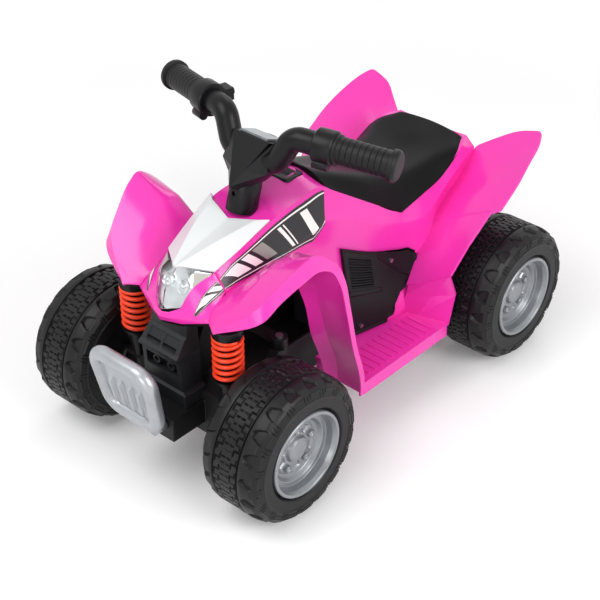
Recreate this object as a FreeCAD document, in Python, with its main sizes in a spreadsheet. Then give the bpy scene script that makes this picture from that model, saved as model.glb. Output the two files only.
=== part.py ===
import FreeCAD, Part
import math
import os
import Sketcher

V = FreeCAD.Vector
doc = FreeCAD.newDocument("kids_quad_bike")

# Driving sizes in millimetres and degrees. Front is -Y, up is +Z, rider's left is +X.
SIZES = [
    ("wheelbase", 454), ("front_axle", -215), ("wheel_radius", 97.5),
    ("tyre_half_width", 46), ("wheel_centre", 154), ("bead_radius", 58),
    ("hub_radius", 15), ("axle_radius", 5), ("running_clearance", 0.05),
    ("side_clearance", 0.4), ("bolt_circle", 27), ("bolt_radius", 3.5),
    ("kingpin_offset", 88), ("kingpin_radius", 4), ("knuckle_radius", 12),
    ("knuckle_half_height", 15), ("fork_plate", 7), ("fork_half_depth", 16),
    ("steer_arm", 72), ("steer_arm_thick", 14), ("tie_rod_drop", 169),
    ("tie_rod_thick", 10), ("tie_rod_half_width", 11), ("tie_pin_radius", 4),
    ("crank_radius", 40), ("crank_thick", 8), ("crank_pin_radius", 5),
    ("slot_play", 0.8), ("rake", 15), ("column_radius", 6),
    ("column_lead", 106), ("column_height", 335), ("neck_radius", 20),
    ("neck_drop", 20), ("neck_rise", 24), ("neck_clearance", 0.8),
    ("tub_half_width", 55), ("tub_bottom", 60), ("tub_top", 120),
    ("tub_lead", 20), ("tub_overhang", 51), ("tub_wall", 4),
    ("subframe_half_width", 70), ("subframe_lead", 20), ("tower_half_width", 20),
    ("panel_wall", 3), ("floor_top", 92), ("floor_thick", 4),
    ("foot_edge", 155), ("skirt_bottom", 73), ("rib_height", 1.5),
    ("bar_radius", 15), ("grip_radius", 17), ("grip_flange", 19),
    ("clamp_radius", 21.5), ("grip_length", 76), ("clamp_length", 26),
    ("button_radius", 5), ("button_travel", 3),
    ("bumper_tube", 10), ("bumper_lead", 111.5), ("bumper_upper", 197),
    ("bumper_lower", 109), ("bumper_half_top", 48), ("bumper_half_low", 41), ("bracket_length", 55),
    ("spring_inset", 7), ("spring_lead", 11), ("spring_bottom", 163),
    ("spring_top", 225), ("spring_radius", 17.3), ("spring_wire", 2.7),
    ("spring_turns", 7), ("strut_radius", 11),
    ("gear_module", 1.25), ("pinion_teeth", 15), ("gear_teeth", 45),
    ("gear_width", 8), ("backlash", 0.3), ("gear_shaft", 3),
    ("motor_radius", 18), ("motor_length", 54), ("motor_shaft", 2),
    ("battery_length", 90), ("battery_width", 70), ("battery_height", 100), ("battery_gap", 59),
    ("seat_wall", 4), ("engine_panel_depth", 5),
]

sizes = doc.addObject("Spreadsheet::Sheet", "sizes")
for row, (word, number) in enumerate(SIZES, 1):
    sizes.set("A%d" % row, word)
    sizes.set("B%d" % row, str(number))
    sizes.setAlias("B%d" % row, word)
FORMULAS = [
    ("rear_axle", "=front_axle + wheelbase"),
    ("wheel_bore", "=axle_radius + running_clearance"),
    ("gear_reach", "=gear_module * (pinion_teeth + gear_teeth) / 2"),
    ("idler_back", "=front_axle + wheelbase - gear_reach * cos(30 deg)"),
    ("idler_height", "=wheel_radius + gear_reach * sin(30 deg)"),
    ("motor_back", "=idler_back - gear_reach"),
    ("tie_rod_back", "=front_axle + steer_arm"),
    ("tie_rod_height", "=column_height - tie_rod_drop"),
    ("column_back", "=front_axle + column_lead"),
    ("tub_front", "=front_axle + tub_lead"),
    ("tub_rear", "=front_axle + wheelbase + tub_overhang"),
    ("subframe_front", "=front_axle - subframe_lead"),
    ("bumper_front", "=front_axle - bumper_lead"),
    ("spring_side", "=kingpin_offset - spring_inset"),
    ("spring_back", "=front_axle - spring_lead"),
]
for row, (word, text) in enumerate(FORMULAS, len(SIZES) + 1):
    sizes.set("A%d" % row, word)
    sizes.set("B%d" % row, text)
    sizes.setAlias("B%d" % row, word)
doc.recompute()
nodes = {}


def size(word):
    """Number of one named size."""
    return float(sizes.get(word))


def amount(spec):
    """Number of a size given as a number or as (name, offset), a leading minus turning the name round."""
    if not isinstance(spec, tuple):
        return float(spec)
    word, offset = spec
    sign = -1.0 if word.startswith("-") else 1.0
    return sign * size(word.lstrip("-")) + offset


def formula(spec):
    """Expression of the same size."""
    if not isinstance(spec, tuple):
        return str(spec)
    word, offset = spec
    sign = "-" if word.startswith("-") else ""
    return "%ssizes.%s + (%s)" % (sign, word.lstrip("-"), offset)


def bind(thing, prop, spec):
    """Ties one property to a size, or sets it to a plain number."""
    if isinstance(spec, tuple):
        thing.setExpression(prop, formula(spec))
    else:
        setattr(thing, prop, spec)


def settle(thing, place, rotation=None):
    """Puts an object at a place given in sizes, turned by a fixed rotation."""
    corner = V(*[0 if isinstance(spec, tuple) else spec for spec in place])
    thing.Placement = FreeCAD.Placement(corner, rotation or FreeCAD.Rotation())
    for axis, spec in zip("xyz", place):
        if isinstance(spec, tuple):
            thing.setExpression("Placement.Base." + axis, formula(spec))
    return thing


def keep(label, thing):
    """Names a finished object as a node."""
    thing.Label = label
    nodes[label] = thing
    return thing


def block(low, extent):
    """Box from its low corner and its three lengths."""
    box = doc.addObject("Part::Box", "block")
    for prop, spec in zip(("Length", "Width", "Height"), extent):
        bind(box, prop, spec)
    return settle(box, low)


def rod(radius, length, place, rotation=None):
    """Cylinder that starts at a place and runs along its turned Z axis."""
    cylinder = doc.addObject("Part::Cylinder", "rod")
    bind(cylinder, "Radius", radius)
    bind(cylinder, "Height", length)
    return settle(cylinder, place, rotation)


ALONG_X = FreeCAD.Rotation(V(0, 1, 0), 90)
AGAINST_X = FreeCAD.Rotation(V(0, 1, 0), -90)
ALONG_Y = FreeCAD.Rotation(V(1, 0, 0), -90)


def join(parts):
    """Union of several objects."""
    fuse = doc.addObject("Part::MultiFuse", "join")
    fuse.Shapes = parts
    fuse.Refine = True
    return fuse


def carve(base, tool):
    """Base less tool."""
    cut = doc.addObject("Part::Cut", "carve")
    cut.Base = base
    cut.Tool = tool
    return cut


def moulding(shape, label="moulding"):
    """Free-form solid worked out in code."""
    thing = doc.addObject("Part::Feature", label)
    thing.Shape = shape
    return thing


def trimmed(base, *tools):
    """Main piece of a moulding after other pieces are taken out of it."""
    result = base
    for tool in tools:
        result = carve(result, tool)
    doc.recompute()
    pieces = sorted(result.Shape.Solids, key=lambda solid: solid.Volume)
    return moulding(pieces[-1])


def origin_plane(body, role):
    """Origin plane of a body by its role."""
    return [item for item in body.Origin.OriginFeatures if item.Role == role][0]


def outline(body, role, corners):
    """Closed polygon sketch whose corners are held by the sizes."""
    sketch = body.newObject("Sketcher::SketchObject", "outline")
    sketch.AttachmentSupport = (origin_plane(body, role), [""])
    sketch.MapMode = "FlatFace"
    points = [V(amount(h), amount(v), 0) for h, v in corners]
    count = len(points)
    for index in range(count):
        sketch.addGeometry(Part.LineSegment(points[index], points[(index + 1) % count]), False)
    for index in range(count):
        sketch.addConstraint(Sketcher.Constraint("Coincident", index, 2, (index + 1) % count, 1))
    for index, pair in enumerate(corners):
        for kind, axis, spec in zip(("DistanceX", "DistanceY"), (-2, -1), pair):
            if amount(spec) == 0:
                sketch.addConstraint(Sketcher.Constraint("PointOnObject", index, 1, axis))
                continue
            number = sketch.addConstraint(Sketcher.Constraint(kind, -1, 1, index, 1, amount(spec)))
            sketch.setExpression("Constraints[%d]" % number, formula(spec))
    return sketch


def turned(label, corners, place, rotation=None):
    """Body of revolution about its own X axis from (along, radius) corners."""
    body = doc.addObject("PartDesign::Body", label)
    sketch = outline(body, "XZ_Plane", corners)
    turn = body.newObject("PartDesign::Revolution", "turn")
    turn.Profile = sketch
    turn.ReferenceAxis = (sketch, ["H_Axis"])
    turn.Angle = 360
    body.Tip = turn
    return settle(body, place, rotation)


def plate(label, role, corners, thick, place, rotation=None):
    """Body padded from a polygon on one origin plane."""
    body = doc.addObject("PartDesign::Body", label)
    sketch = outline(body, role, corners)
    pad = body.newObject("PartDesign::Pad", "pad")
    pad.Profile = sketch
    bind(pad, "Length", thick)
    body.Tip = pad
    return settle(body, place, rotation)


def facet_solid(triangles):
    """Solid closed by flat triangles."""
    faces = []
    for a, b, c in triangles:
        faces.append(Part.Face(Part.makePolygon([a, b, c, a])))
    solid = Part.Solid(Part.Shell(faces))
    if solid.Volume < 0:
        solid.reverse()
    return solid


def sheet_solid(grid, thick, flip=False):
    """Moulded sheet: a grid of points, thickened against its outward normals and closed along its border.

    The cells right of the middle plane are split the other way, so that both halves mirror each other.
    """
    rows = len(grid)
    columns = len(grid[0])
    normals = [[V(0, 0, 0) for _ in range(columns)] for _ in range(rows)]
    cells = []
    for i in range(rows - 1):
        for j in range(columns - 1):
            if grid[i][j].x + grid[i + 1][j + 1].x < 0:
                cells.append(((i, j), (i, j + 1), (i + 1, j)))
                cells.append(((i, j + 1), (i + 1, j + 1), (i + 1, j)))
            else:
                cells.append(((i, j), (i, j + 1), (i + 1, j + 1)))
                cells.append(((i, j), (i + 1, j + 1), (i + 1, j)))
    for cell in cells:
        a, b, c = [grid[i][j] for i, j in cell]
        normal = (b - a).cross(c - a)
        normal.normalize()
        for i, j in cell:
            normals[i][j] = normals[i][j] + normal
    back = []
    for i in range(rows):
        line = []
        for j in range(columns):
            normal = normals[i][j]
            normal.normalize()
            line.append(grid[i][j] - normal * (-thick if flip else thick))
        back.append(line)
    triangles = []
    for cell in cells:
        triangles.append([grid[i][j] for i, j in cell])
        triangles.append([back[i][j] for i, j in reversed(cell)])
    border = [(0, j) for j in range(columns)] + [(i, columns - 1) for i in range(1, rows)]
    border += [(rows - 1, j) for j in range(columns - 2, -1, -1)] + [(i, 0) for i in range(rows - 2, 0, -1)]
    for (i, j), (k, n) in zip(border, border[1:] + border[:1]):
        triangles.append([grid[k][n], grid[i][j], back[i][j]])
        triangles.append([grid[k][n], back[i][j], back[k][n]])
    return facet_solid(triangles)


def ring_solid(rings):
    """Solid skinned over closed rings of equal count, its ends closed by fans."""
    triangles = []
    count = len(rings[0])
    for low, high in zip(rings[:-1], rings[1:]):
        for j in range(count):
            k = (j + 1) % count
            triangles.append([low[j], low[k], high[k]])
            triangles.append([low[j], high[k], high[j]])
    for ring, turn_round in ((rings[0], True), (rings[-1], False)):
        for j in range(1, count - 1):
            fan = [ring[0], ring[j], ring[j + 1]]
            triangles.append(fan[::-1] if turn_round else fan)
    return facet_solid(triangles)


def station(x, y, z):
    """Body point drawn for a front axle at -215, moved with the axle and stretched with the wheelbase."""
    return V(x, size("front_axle") + (y + 215) * size("wheelbase") / 454.0, z)


def stations(table):
    """Grid of body points."""
    return [[station(*point) for point in line] for line in table]


def both_halves(grid):
    """Full-width grid from the left half, whose first column lies on the middle plane."""
    full = []
    for line in grid:
        mirrored = [V(-point.x, point.y, point.z) for point in line[:0:-1]]
        full.append(mirrored + line)
    return full


def rounded_path(points, radius, closed=False):
    """Wire of straight runs with arcs at its corners."""
    count = len(points)
    edges = []
    first = None
    last = points[0]
    corners = range(count) if closed else range(1, count - 1)
    for index in corners:
        corner = points[index]
        before = points[index - 1] - corner
        after = points[(index + 1) % count] - corner
        before.normalize()
        after.normalize()
        half = before.getAngle(after) / 2.0
        reach = radius / math.tan(half)
        start = corner + before * reach
        end = corner + after * reach
        inward = before + after
        inward.normalize()
        middle = corner + inward * (radius / math.sin(half) - radius)
        if closed and first is None:
            first = start
        else:
            edges.append(Part.makeLine(last, start))
        edges.append(Part.Arc(start, middle, end).toShape())
        last = end
    edges.append(Part.makeLine(last, first if closed else points[-1]))
    return Part.Wire(edges)


def tube(wire, radius):
    """Round bar along a wire."""
    start = wire.Edges[0]
    place = start.valueAt(start.FirstParameter)
    along = start.tangentAt(start.FirstParameter)
    circle = Part.Wire([Part.makeCircle(radius, place, along)])
    shell = Part.BRepOffsetAPI.MakePipeShell(wire)
    shell.add(circle)
    shell.build()
    shell.makeSolid()
    return shell.shape()


# Wheels: a hollow moulded tyre with its hub tube, two tread rings and scooped shoulders, and a pressed-in
# stepped rim with five bolt heads.
WIDTH = "tyre_half_width"
TREAD = "wheel_radius"
BEAD = "bead_radius"
TYRE = [
    ((WIDTH, -6), (BEAD, 0)), ((WIDTH, 0), (BEAD, 5)), ((WIDTH, 0), (BEAD, 20)),
    ((WIDTH, -4), (TREAD, -8)), ((WIDTH, -9), (TREAD, -2.5)), ((WIDTH, -20), (TREAD, 0)),
    ((WIDTH, -25.4), (TREAD, 0)), ((WIDTH, -25.4), (TREAD, -2)), ((WIDTH, -27.6), (TREAD, -2)),
    ((WIDTH, -27.6), (TREAD, 0)), (("-" + WIDTH, 27.6), (TREAD, 0)), (("-" + WIDTH, 27.6), (TREAD, -2)),
    (("-" + WIDTH, 25.4), (TREAD, -2)), (("-" + WIDTH, 25.4), (TREAD, 0)),
    (("-" + WIDTH, 20), (TREAD, 0)), (("-" + WIDTH, 9), (TREAD, -2.5)), (("-" + WIDTH, 4), (TREAD, -8)),
    (("-" + WIDTH, 0), (BEAD, 20)), (("-" + WIDTH, 0), (BEAD, 2)), (("-" + WIDTH, 6), (BEAD, -3)),
    (("-" + WIDTH, 6), ("hub_radius", 0)), (("-" + WIDTH, 0), ("hub_radius", 0)),
    (("-" + WIDTH, 0), ("wheel_bore", 0)), ((WIDTH, -26), ("wheel_bore", 0)),
    ((WIDTH, -26), ("hub_radius", 0)), (("-" + WIDTH, 11), ("hub_radius", 0)),
    (("-" + WIDTH, 11), (BEAD, -5)), (("-" + WIDTH, 5), (BEAD, 4)), (("-" + WIDTH, 5), (BEAD, 19)),
    (("-" + WIDTH, 9), (TREAD, -11)), (("-" + WIDTH, 13), (TREAD, -7)), (("-" + WIDTH, 21), (TREAD, -5)),
    ((WIDTH, -21), (TREAD, -5)), ((WIDTH, -13), (TREAD, -7)), ((WIDTH, -9), (TREAD, -11)),
    ((WIDTH, -5), (BEAD, 19)), ((WIDTH, -5), (BEAD, 7)), ((WIDTH, -10), (BEAD, 2)),
    ((WIDTH, -10), (BEAD, 0)),
]
RIM = [
    ((WIDTH, -12), (BEAD, 0)), ((WIDTH, 0.5), (BEAD, 0)), ((WIDTH, 0.5), (BEAD, -4)),
    ((WIDTH, -5), (BEAD, -7)), ((WIDTH, -14), (BEAD, -9)), ((WIDTH, -14), (BEAD, -15)),
    ((WIDTH, -20), (BEAD, -19)), ((WIDTH, -20), ("hub_radius", 3)), ((WIDTH, -15), ("hub_radius", 1)),
    ((WIDTH, -15), 0), ((WIDTH, -18), 0), ((WIDTH, -18), ("hub_radius", -2)),
    ((WIDTH, -23), ("hub_radius", -1)), ((WIDTH, -23), (BEAD, -18)), ((WIDTH, -17), (BEAD, -14)),
    ((WIDTH, -17), (BEAD, -6)), ((WIDTH, -12), (BEAD, -4)),
]
TURN_ROUND = FreeCAD.Rotation(V(0, 0, 1), 180)
SHOULDER = [(-23.6, -2.6), (-19.6, -2.8), (-10.4, -4.8), (-6.2, -9.3), (-5.6, -11.3), (1, -11.3), (1, 2), (-23.6, 2)]


def scoop(side, turn):
    """Elliptic plug across the tyre's shoulder, square to its slope, at an angle round the wheel."""
    slope = V(0.5 * side, 0, 0.866)
    down = V(0.866 * side, 0, -0.5)
    centre = V((size(WIDTH) - 3.2) * side, 0, size(TREAD) - 10.3) - slope * 12
    spin = FreeCAD.Rotation(V(1, 0, 0), turn)
    rim_line = doc.addObject("Part::Ellipse", "scoop_line")
    rim_line.MajorRadius = 22.8
    rim_line.MinorRadius = 10.5
    square = FreeCAD.Rotation(down, V(0, 0, 0), slope, "ZXY")
    rim_line.Placement = FreeCAD.Placement(spin.multVec(centre), spin * square)
    plug = doc.addObject("Part::Extrusion", "scoop")
    plug.Base = rim_line
    plug.DirMode = "Normal"
    plug.LengthFwd = 30
    plug.Solid = True
    return plug


SCOOPS = 19
plugs = doc.addObject("Part::Compound", "plugs")
plugs.Links = [scoop(side, (index + shift) * 360.0 / SCOOPS)
               for side, shift in ((1, 0.5), (-1, 0.0)) for index in range(SCOOPS)]
bands = []
for sign, side in (("", 1), ("-", -1)):
    corners = [((sign + WIDTH, side * across), (TREAD, up)) for across, up in SHOULDER]
    bands.append(turned("band", corners, (0, 0, 0)))
both_bands = doc.addObject("Part::Compound", "bands")
both_bands.Links = bands
scoops = doc.addObject("Part::Common", "scoops")
scoops.Base = both_bands
scoops.Tool = plugs
tyre_blank = turned("tyre", TYRE, (0, 0, 0))
for tag, side, axle in (("front_left", "", "front_axle"), ("front_right", "-", "front_axle"),
                        ("rear_left", "", "rear_axle"), ("rear_right", "-", "rear_axle")):
    facing = TURN_ROUND if side else None
    place = ((side + "wheel_centre", 0), (axle, 0), (TREAD, 0))
    keep("tyre_" + tag, settle(carve(tyre_blank, scoops), place, facing))
    dish = turned("dish", RIM, (0, 0, 0))
    heads = []
    for index in range(5):
        head = rod(("bolt_radius", 0), 8, ((WIDTH, -23), 0, 0), ALONG_X)
        angle = 72 * index + 90
        head.setExpression("Placement.Base.y", "sizes.bolt_circle * cos(%d deg)" % angle)
        head.setExpression("Placement.Base.z", "sizes.bolt_circle * sin(%d deg)" % angle)
        heads.append(head)
    keep("rim_" + tag, settle(join([dish] + heads), place, facing))

# Chassis tub: an open box with axle carriers, a web behind the gears and outriggers under the footboards.
tub = block((("-tub_half_width", 0), ("tub_front", 0), ("tub_bottom", 0)), (1, 1, 1))
tub.setExpression("Length", "2 * sizes.tub_half_width")
tub.setExpression("Width", "sizes.tub_rear - sizes.tub_front")
tub.setExpression("Height", "sizes.tub_top - sizes.tub_bottom")
hollow = block((0, 0, 0), (1, 1, 1))
hollow.setExpression("Length", "2 * (sizes.tub_half_width - sizes.tub_wall)")
hollow.setExpression("Width", "sizes.tub_rear - sizes.tub_front - 2 * sizes.tub_wall")
hollow.setExpression("Height", "sizes.tub_top - sizes.tub_bottom")
hollow.setExpression("Placement.Base.x", "sizes.tub_wall - sizes.tub_half_width")
hollow.setExpression("Placement.Base.y", "sizes.tub_front + sizes.tub_wall")
hollow.setExpression("Placement.Base.z", "sizes.tub_bottom + sizes.tub_wall")
shell = carve(tub, hollow)
web = block((-10, ("rear_axle", -14), ("tub_bottom", 0)), (4, 28, 54))
carrier = rod(("axle_radius", 9), 50, (("tub_half_width", -2), ("rear_axle", 0), (TREAD, 0)), ALONG_X)
carrier.setExpression("Height", "sizes.wheel_centre - sizes.tyre_half_width - sizes.tub_half_width + 2"
                      " - sizes.side_clearance")
sleeve = rod(("axle_radius", 13), 40, (("-tub_half_width", 2), ("rear_axle", 0), (TREAD, 0)), AGAINST_X)
stays = []
for side in (1, -1):
    for back in (30, 95):
        stay = block((0, back, ("floor_top", -22)), (1, 14, 1))
        stay.setExpression("Length", "sizes.foot_edge - sizes.tub_half_width - 6")
        stay.setExpression("Height", "22 - sizes.floor_thick")
        stay.setExpression("Placement.Base.x",
                           "sizes.tub_half_width - 1" if side > 0 else "7 - sizes.foot_edge")
        stays.append(stay)
solid_tub = join([shell, web, carrier, sleeve] + stays)
axle_hole = rod(("axle_radius", 0), 400, (-200, ("rear_axle", 0), (TREAD, 0)), ALONG_X)
drive_hole = rod(("axle_radius", 7), 60, (("-tub_half_width", 5), ("rear_axle", 0), (TREAD, 0)), AGAINST_X)
keep("chassis_tub", carve(carve(solid_tub, axle_hole), drive_hole))

# Rear axle: a fixed steel rod with a collar nut outside each wheel hub.
axle = rod(("axle_radius", 0), 1, (0, ("rear_axle", 0), (TREAD, 0)), ALONG_X)
axle.setExpression("Height", "2 * (sizes.wheel_centre + sizes.tyre_half_width - 20)")
axle.setExpression("Placement.Base.x", "20 - sizes.wheel_centre - sizes.tyre_half_width")
keep("rear_axle", axle)


def collar_nut(side, axle_word):
    """Push-on nut just outside a wheel hub."""
    solid = rod(("axle_radius", 4), 5, (0, (axle_word, 0), (TREAD, 0)), ALONG_X)
    bore = rod(("axle_radius", 0), 7, (0, (axle_word, 0), (TREAD, 0)), ALONG_X)
    for piece, shift in ((solid, 0.0), (bore, -1.0)):
        reach = "sizes.wheel_centre + sizes.tyre_half_width - 26 + sizes.side_clearance + (%s)" % shift
        length = 5 - 2 * shift
        text = reach if side > 0 else "-(%s) - %s" % (reach, length)
        piece.setExpression("Placement.Base.x", text)
    return carve(solid, bore)


nuts = doc.addObject("Part::Compound", "nuts")
nuts.Links = [collar_nut(1, "rear_axle"), collar_nut(-1, "rear_axle")]
keep("rear_axle_nuts", nuts)

# Front subframe: cross block with a fork at each end, a tower for the column and a bracket for the bumper.
cross = block((("-subframe_half_width", 0), ("subframe_front", 0), ("tub_bottom", 0)), (1, 1, 1))
cross.setExpression("Length", "2 * sizes.subframe_half_width")
cross.setExpression("Width", "sizes.tub_front - sizes.subframe_front")
cross.setExpression("Height", "sizes.tub_top - sizes.tub_bottom + 5")
pieces = [cross]
for side in (1, -1):
    for upper in (True, False):
        fork = block((0, 0, 0), (1, 1, ("fork_plate", 0)))
        fork.setExpression("Length", "sizes.kingpin_offset - sizes.subframe_half_width + 13")
        fork.setExpression("Width", "2 * sizes.fork_half_depth")
        fork.setExpression("Placement.Base.y", "sizes.front_axle - sizes.fork_half_depth")
        fork.setExpression("Placement.Base.x", "sizes.subframe_half_width - 1" if side > 0
                           else "-sizes.kingpin_offset - 12")
        gap = "sizes.knuckle_half_height + sizes.side_clearance"
        fork.setExpression("Placement.Base.z", "sizes.wheel_radius + " + gap if upper
                           else "sizes.wheel_radius - sizes.fork_plate - (%s)" % gap)
        pieces.append(fork)
tower = plate("tower", "YZ_Plane", [
    (("subframe_front", 3), ("tub_top", 4)), (("subframe_front", 35), ("tub_top", 4)),
    (("column_back", -66), ("column_height", -155)), (("column_back", -66), ("column_height", -125)),
    (("column_back", -12), ("column_height", -125)), (("column_back", -12), ("column_height", -101)),
    (("column_back", -76), ("column_height", -101)), (("subframe_front", 3), ("column_height", -183))],
    ("tower_half_width", 0), (("-tower_half_width", 0), 0, 0))
tower.Tip.setExpression("Length", "2 * sizes.tower_half_width")
bracket = block((-46, 0, 78), (92, ("bracket_length", 1), 34))
bracket.setExpression("Placement.Base.y", "sizes.subframe_front - sizes.bracket_length")
pieces += [tower, bracket]
subframe = join(pieces)
RAKED = FreeCAD.Rotation(V(1, 0, 0), -size("rake"))


def column_point(along, behind=0.0):
    """Point at a distance up the raked column, and behind it square to it."""
    angle = math.radians(size("rake"))
    y = size("column_back") + along * math.sin(angle) + behind * math.cos(angle)
    return V(0, y, size("column_height") + along * math.cos(angle) - behind * math.sin(angle))


def column_rod(radius, low, length, behind=0.0):
    """Cylinder square to the raked column's plane, low end at a distance along the column."""
    cylinder = doc.addObject("Part::Cylinder", "rod")
    bind(cylinder, "Radius", radius)
    cylinder.Height = length
    cylinder.Placement = FreeCAD.Placement(column_point(low, behind), RAKED)
    return cylinder


bearing = column_rod(("column_radius", 0), -160, 80)
bearing.setExpression("Radius", "sizes.column_radius + sizes.running_clearance")
pin_holes = []
for side in ("", "-"):
    place = ((side + "kingpin_offset", 0), ("front_axle", 0), (TREAD, -45))
    pin_holes.append(rod(("kingpin_radius", 0), 90, place))
keep("front_subframe", carve(carve(subframe, bearing), join(pin_holes)))
pins = doc.addObject("Part::Compound", "pins")
links = []
for side in ("", "-"):
    stem = rod(("kingpin_radius", 0), 1, ((side + "kingpin_offset", 0), ("front_axle", 0), 0))
    stem.setExpression("Height", "2 * (sizes.knuckle_half_height + sizes.fork_plate) + 3")
    stem.setExpression("Placement.Base.z",
                       "sizes.wheel_radius - sizes.knuckle_half_height - sizes.fork_plate - 1")
    links.append(stem)
pins.Links = links
keep("kingpins", pins)

# Knuckles: a block on the kingpin, an arm rising behind it to the tie rod, and a pressed-in stub axle.
for tag, side in (("left", 1), ("right", -1)):
    sign = "" if side > 0 else "-"
    outward = ALONG_X if side > 0 else AGAINST_X
    hub = rod(("knuckle_radius", 0), 1, ((sign + "kingpin_offset", 0), ("front_axle", 0), 0))
    hub.setExpression("Height", "2 * sizes.knuckle_half_height")
    hub.setExpression("Placement.Base.z", "sizes.wheel_radius - sizes.knuckle_half_height")
    arm = plate("arm", "YZ_Plane", [
        (("front_axle", 4), (TREAD, -11)), (("front_axle", 34), (TREAD, -11)),
        (("tie_rod_back", 8), ("tie_rod_height", -9)), (("tie_rod_back", 8), ("tie_rod_height", -0.3)),
        (("tie_rod_back", -9), ("tie_rod_height", -0.3)),
        (("front_axle", 24), (TREAD, 9)), (("front_axle", 4), (TREAD, 9))],
        ("steer_arm_thick", 0), (0, 0, 0))
    arm.setExpression("Placement.Base.x", "%ssizes.kingpin_offset - sizes.steer_arm_thick / 2" % sign)
    pin = rod(("tie_pin_radius", 0), ("tie_rod_thick", 3), ((sign + "kingpin_offset", 0), ("tie_rod_back", 0),
                                                         ("tie_rod_height", -2)))
    nose = rod(("axle_radius", 4), 1, (0, ("front_axle", 0), (TREAD, 0)), outward)
    nose.setExpression("Height", "sizes.wheel_centre - sizes.tyre_half_width - sizes.kingpin_offset"
                       " - sizes.side_clearance")
    bind(nose, "Placement.Base.x", (sign + "kingpin_offset", 0))
    bore = rod(("kingpin_radius", 0), 60, ((sign + "kingpin_offset", 0), ("front_axle", 0), (TREAD, -30)))
    bore.setExpression("Radius", "sizes.kingpin_radius + sizes.running_clearance")
    socket = rod(("axle_radius", 0), 60, (0, ("front_axle", 0), (TREAD, 0)), outward)
    socket.setExpression("Placement.Base.x", "%s(sizes.kingpin_offset + sizes.kingpin_radius + 2)" % sign)
    keep("knuckle_" + tag, carve(carve(join([hub, arm, pin, nose]), bore), socket))
    stub = rod(("axle_radius", 0), 1, (0, ("front_axle", 0), (TREAD, 0)), outward)
    stub.setExpression("Placement.Base.x", "%s(sizes.kingpin_offset + sizes.kingpin_radius + 2)" % sign)
    stub.setExpression("Height", "sizes.wheel_centre + sizes.tyre_half_width - 20 - sizes.kingpin_offset"
                       " - sizes.kingpin_radius - 2")
    stub_nut = collar_nut(side, "front_axle")
    keep("stub_axle_" + tag, join([stub, stub_nut]))

# Tie rod: a flat bar over the knuckle arms with an end boss on each pin and a slotted tab for the crank.
bar = block((0, ("tie_rod_back", -11), ("tie_rod_height", 0)), (1, 22, ("tie_rod_thick", 0)))
bar.setExpression("Length", "2 * sizes.kingpin_offset")
bar.setExpression("Placement.Base.x", "-sizes.kingpin_offset")
bar.setExpression("Width", "2 * sizes.tie_rod_half_width")
bar.setExpression("Placement.Base.y", "sizes.tie_rod_back - sizes.tie_rod_half_width")
bosses = []
holes = []
for sign in ("", "-"):
    centre = ((sign + "kingpin_offset", 0), ("tie_rod_back", 0))
    bosses.append(rod(("tie_rod_half_width", 0), ("tie_rod_thick", 5), centre + (("tie_rod_height", 0),)))
    hole = rod(("tie_pin_radius", 0), ("tie_rod_thick", 2), centre + (("tie_rod_height", -1),))
    hole.setExpression("Radius", "sizes.tie_pin_radius + sizes.running_clearance")
    holes.append(hole)
slot_centre = column_point(-159, size("crank_radius"))
tab = block((-16, ("tie_rod_back", 0), ("tie_rod_height", 0)), (32, 1, ("tie_rod_thick", 0)))
tab.Width = slot_centre.y + 14 - size("tie_rod_back")
slot = block((0, slot_centre.y - 12, ("tie_rod_height", -1)), (1, 21, ("tie_rod_thick", 2)))
slot.setExpression("Length", "2 * (sizes.crank_pin_radius + sizes.slot_play)")
slot.setExpression("Placement.Base.x", "-sizes.crank_pin_radius - sizes.slot_play")
keep("tie_rod", carve(join([bar, tab] + bosses), join(holes + [slot])))
caps = doc.addObject("Part::Compound", "caps")
links = []
for sign in ("", "-"):
    links.append(rod(("tie_pin_radius", 1), 2.5, ((sign + "kingpin_offset", 0), ("tie_rod_back", 0),
                                                 ("tie_rod_height", 15))))
for link in links:
    link.setExpression("Placement.Base.z", "sizes.tie_rod_height + sizes.tie_rod_thick + 5")
caps.Links = links
keep("tie_rod_screws", caps)

# Steering column with its crank and pin, and the neck that carries the bar.
keep("steering_column", column_rod(("column_radius", 0), -147, 180))
plate_low = -147
hub = column_rod(("column_radius", 7), plate_low, size("crank_thick"))
eye = column_rod(("crank_pin_radius", 4), plate_low, size("crank_thick"), size("crank_radius"))
link = doc.addObject("Part::Box", "link")
link.Length = 18
bind(link, "Width", ("crank_radius", 0))
bind(link, "Height", ("crank_thick", 0))
link.Placement = FreeCAD.Placement(column_point(plate_low) - V(9, 0, 0), RAKED)
pin = column_rod(("crank_pin_radius", 0), plate_low - 24, 26, size("crank_radius"))
bore = column_rod(("column_radius", 0), plate_low - 2, size("crank_thick") + 4)
keep("steering_crank", carve(join([hub, eye, link, pin]), bore))
neck_length = size("neck_drop") + size("neck_rise")
neck = column_rod(("neck_radius", 0), -size("neck_drop"), neck_length)
neck_bore = column_rod(("column_radius", 0), -size("neck_drop") - 2, neck_length + 4)
screw_hole = rod(3.2, 40, (0, 0, 0), FreeCAD.Rotation(V(1, 0, 0), 90 - size("rake")))
screw_hole.Placement.Base = column_point(4, -size("column_radius"))
keep("handlebar_neck", carve(carve(neck, neck_bore), screw_hole))
screw = rod(3.2, 1, (0, 0, 0), FreeCAD.Rotation(V(1, 0, 0), 90 - size("rake")))
screw.setExpression("Height", "sizes.neck_radius - sizes.column_radius - 6")
screw.Placement.Base = column_point(4, -size("column_radius"))
keep("neck_screw", screw)

# Handlebar: one bent tube through the pod, with a clamp and a ribbed grip at each end.


def head_point(x, y, z):
    """Point of the steering head drawn for a column at -109, 335, moved with the column."""
    return V(x, y + 109 + size("column_back"), z - 335 + size("column_height"))


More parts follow.
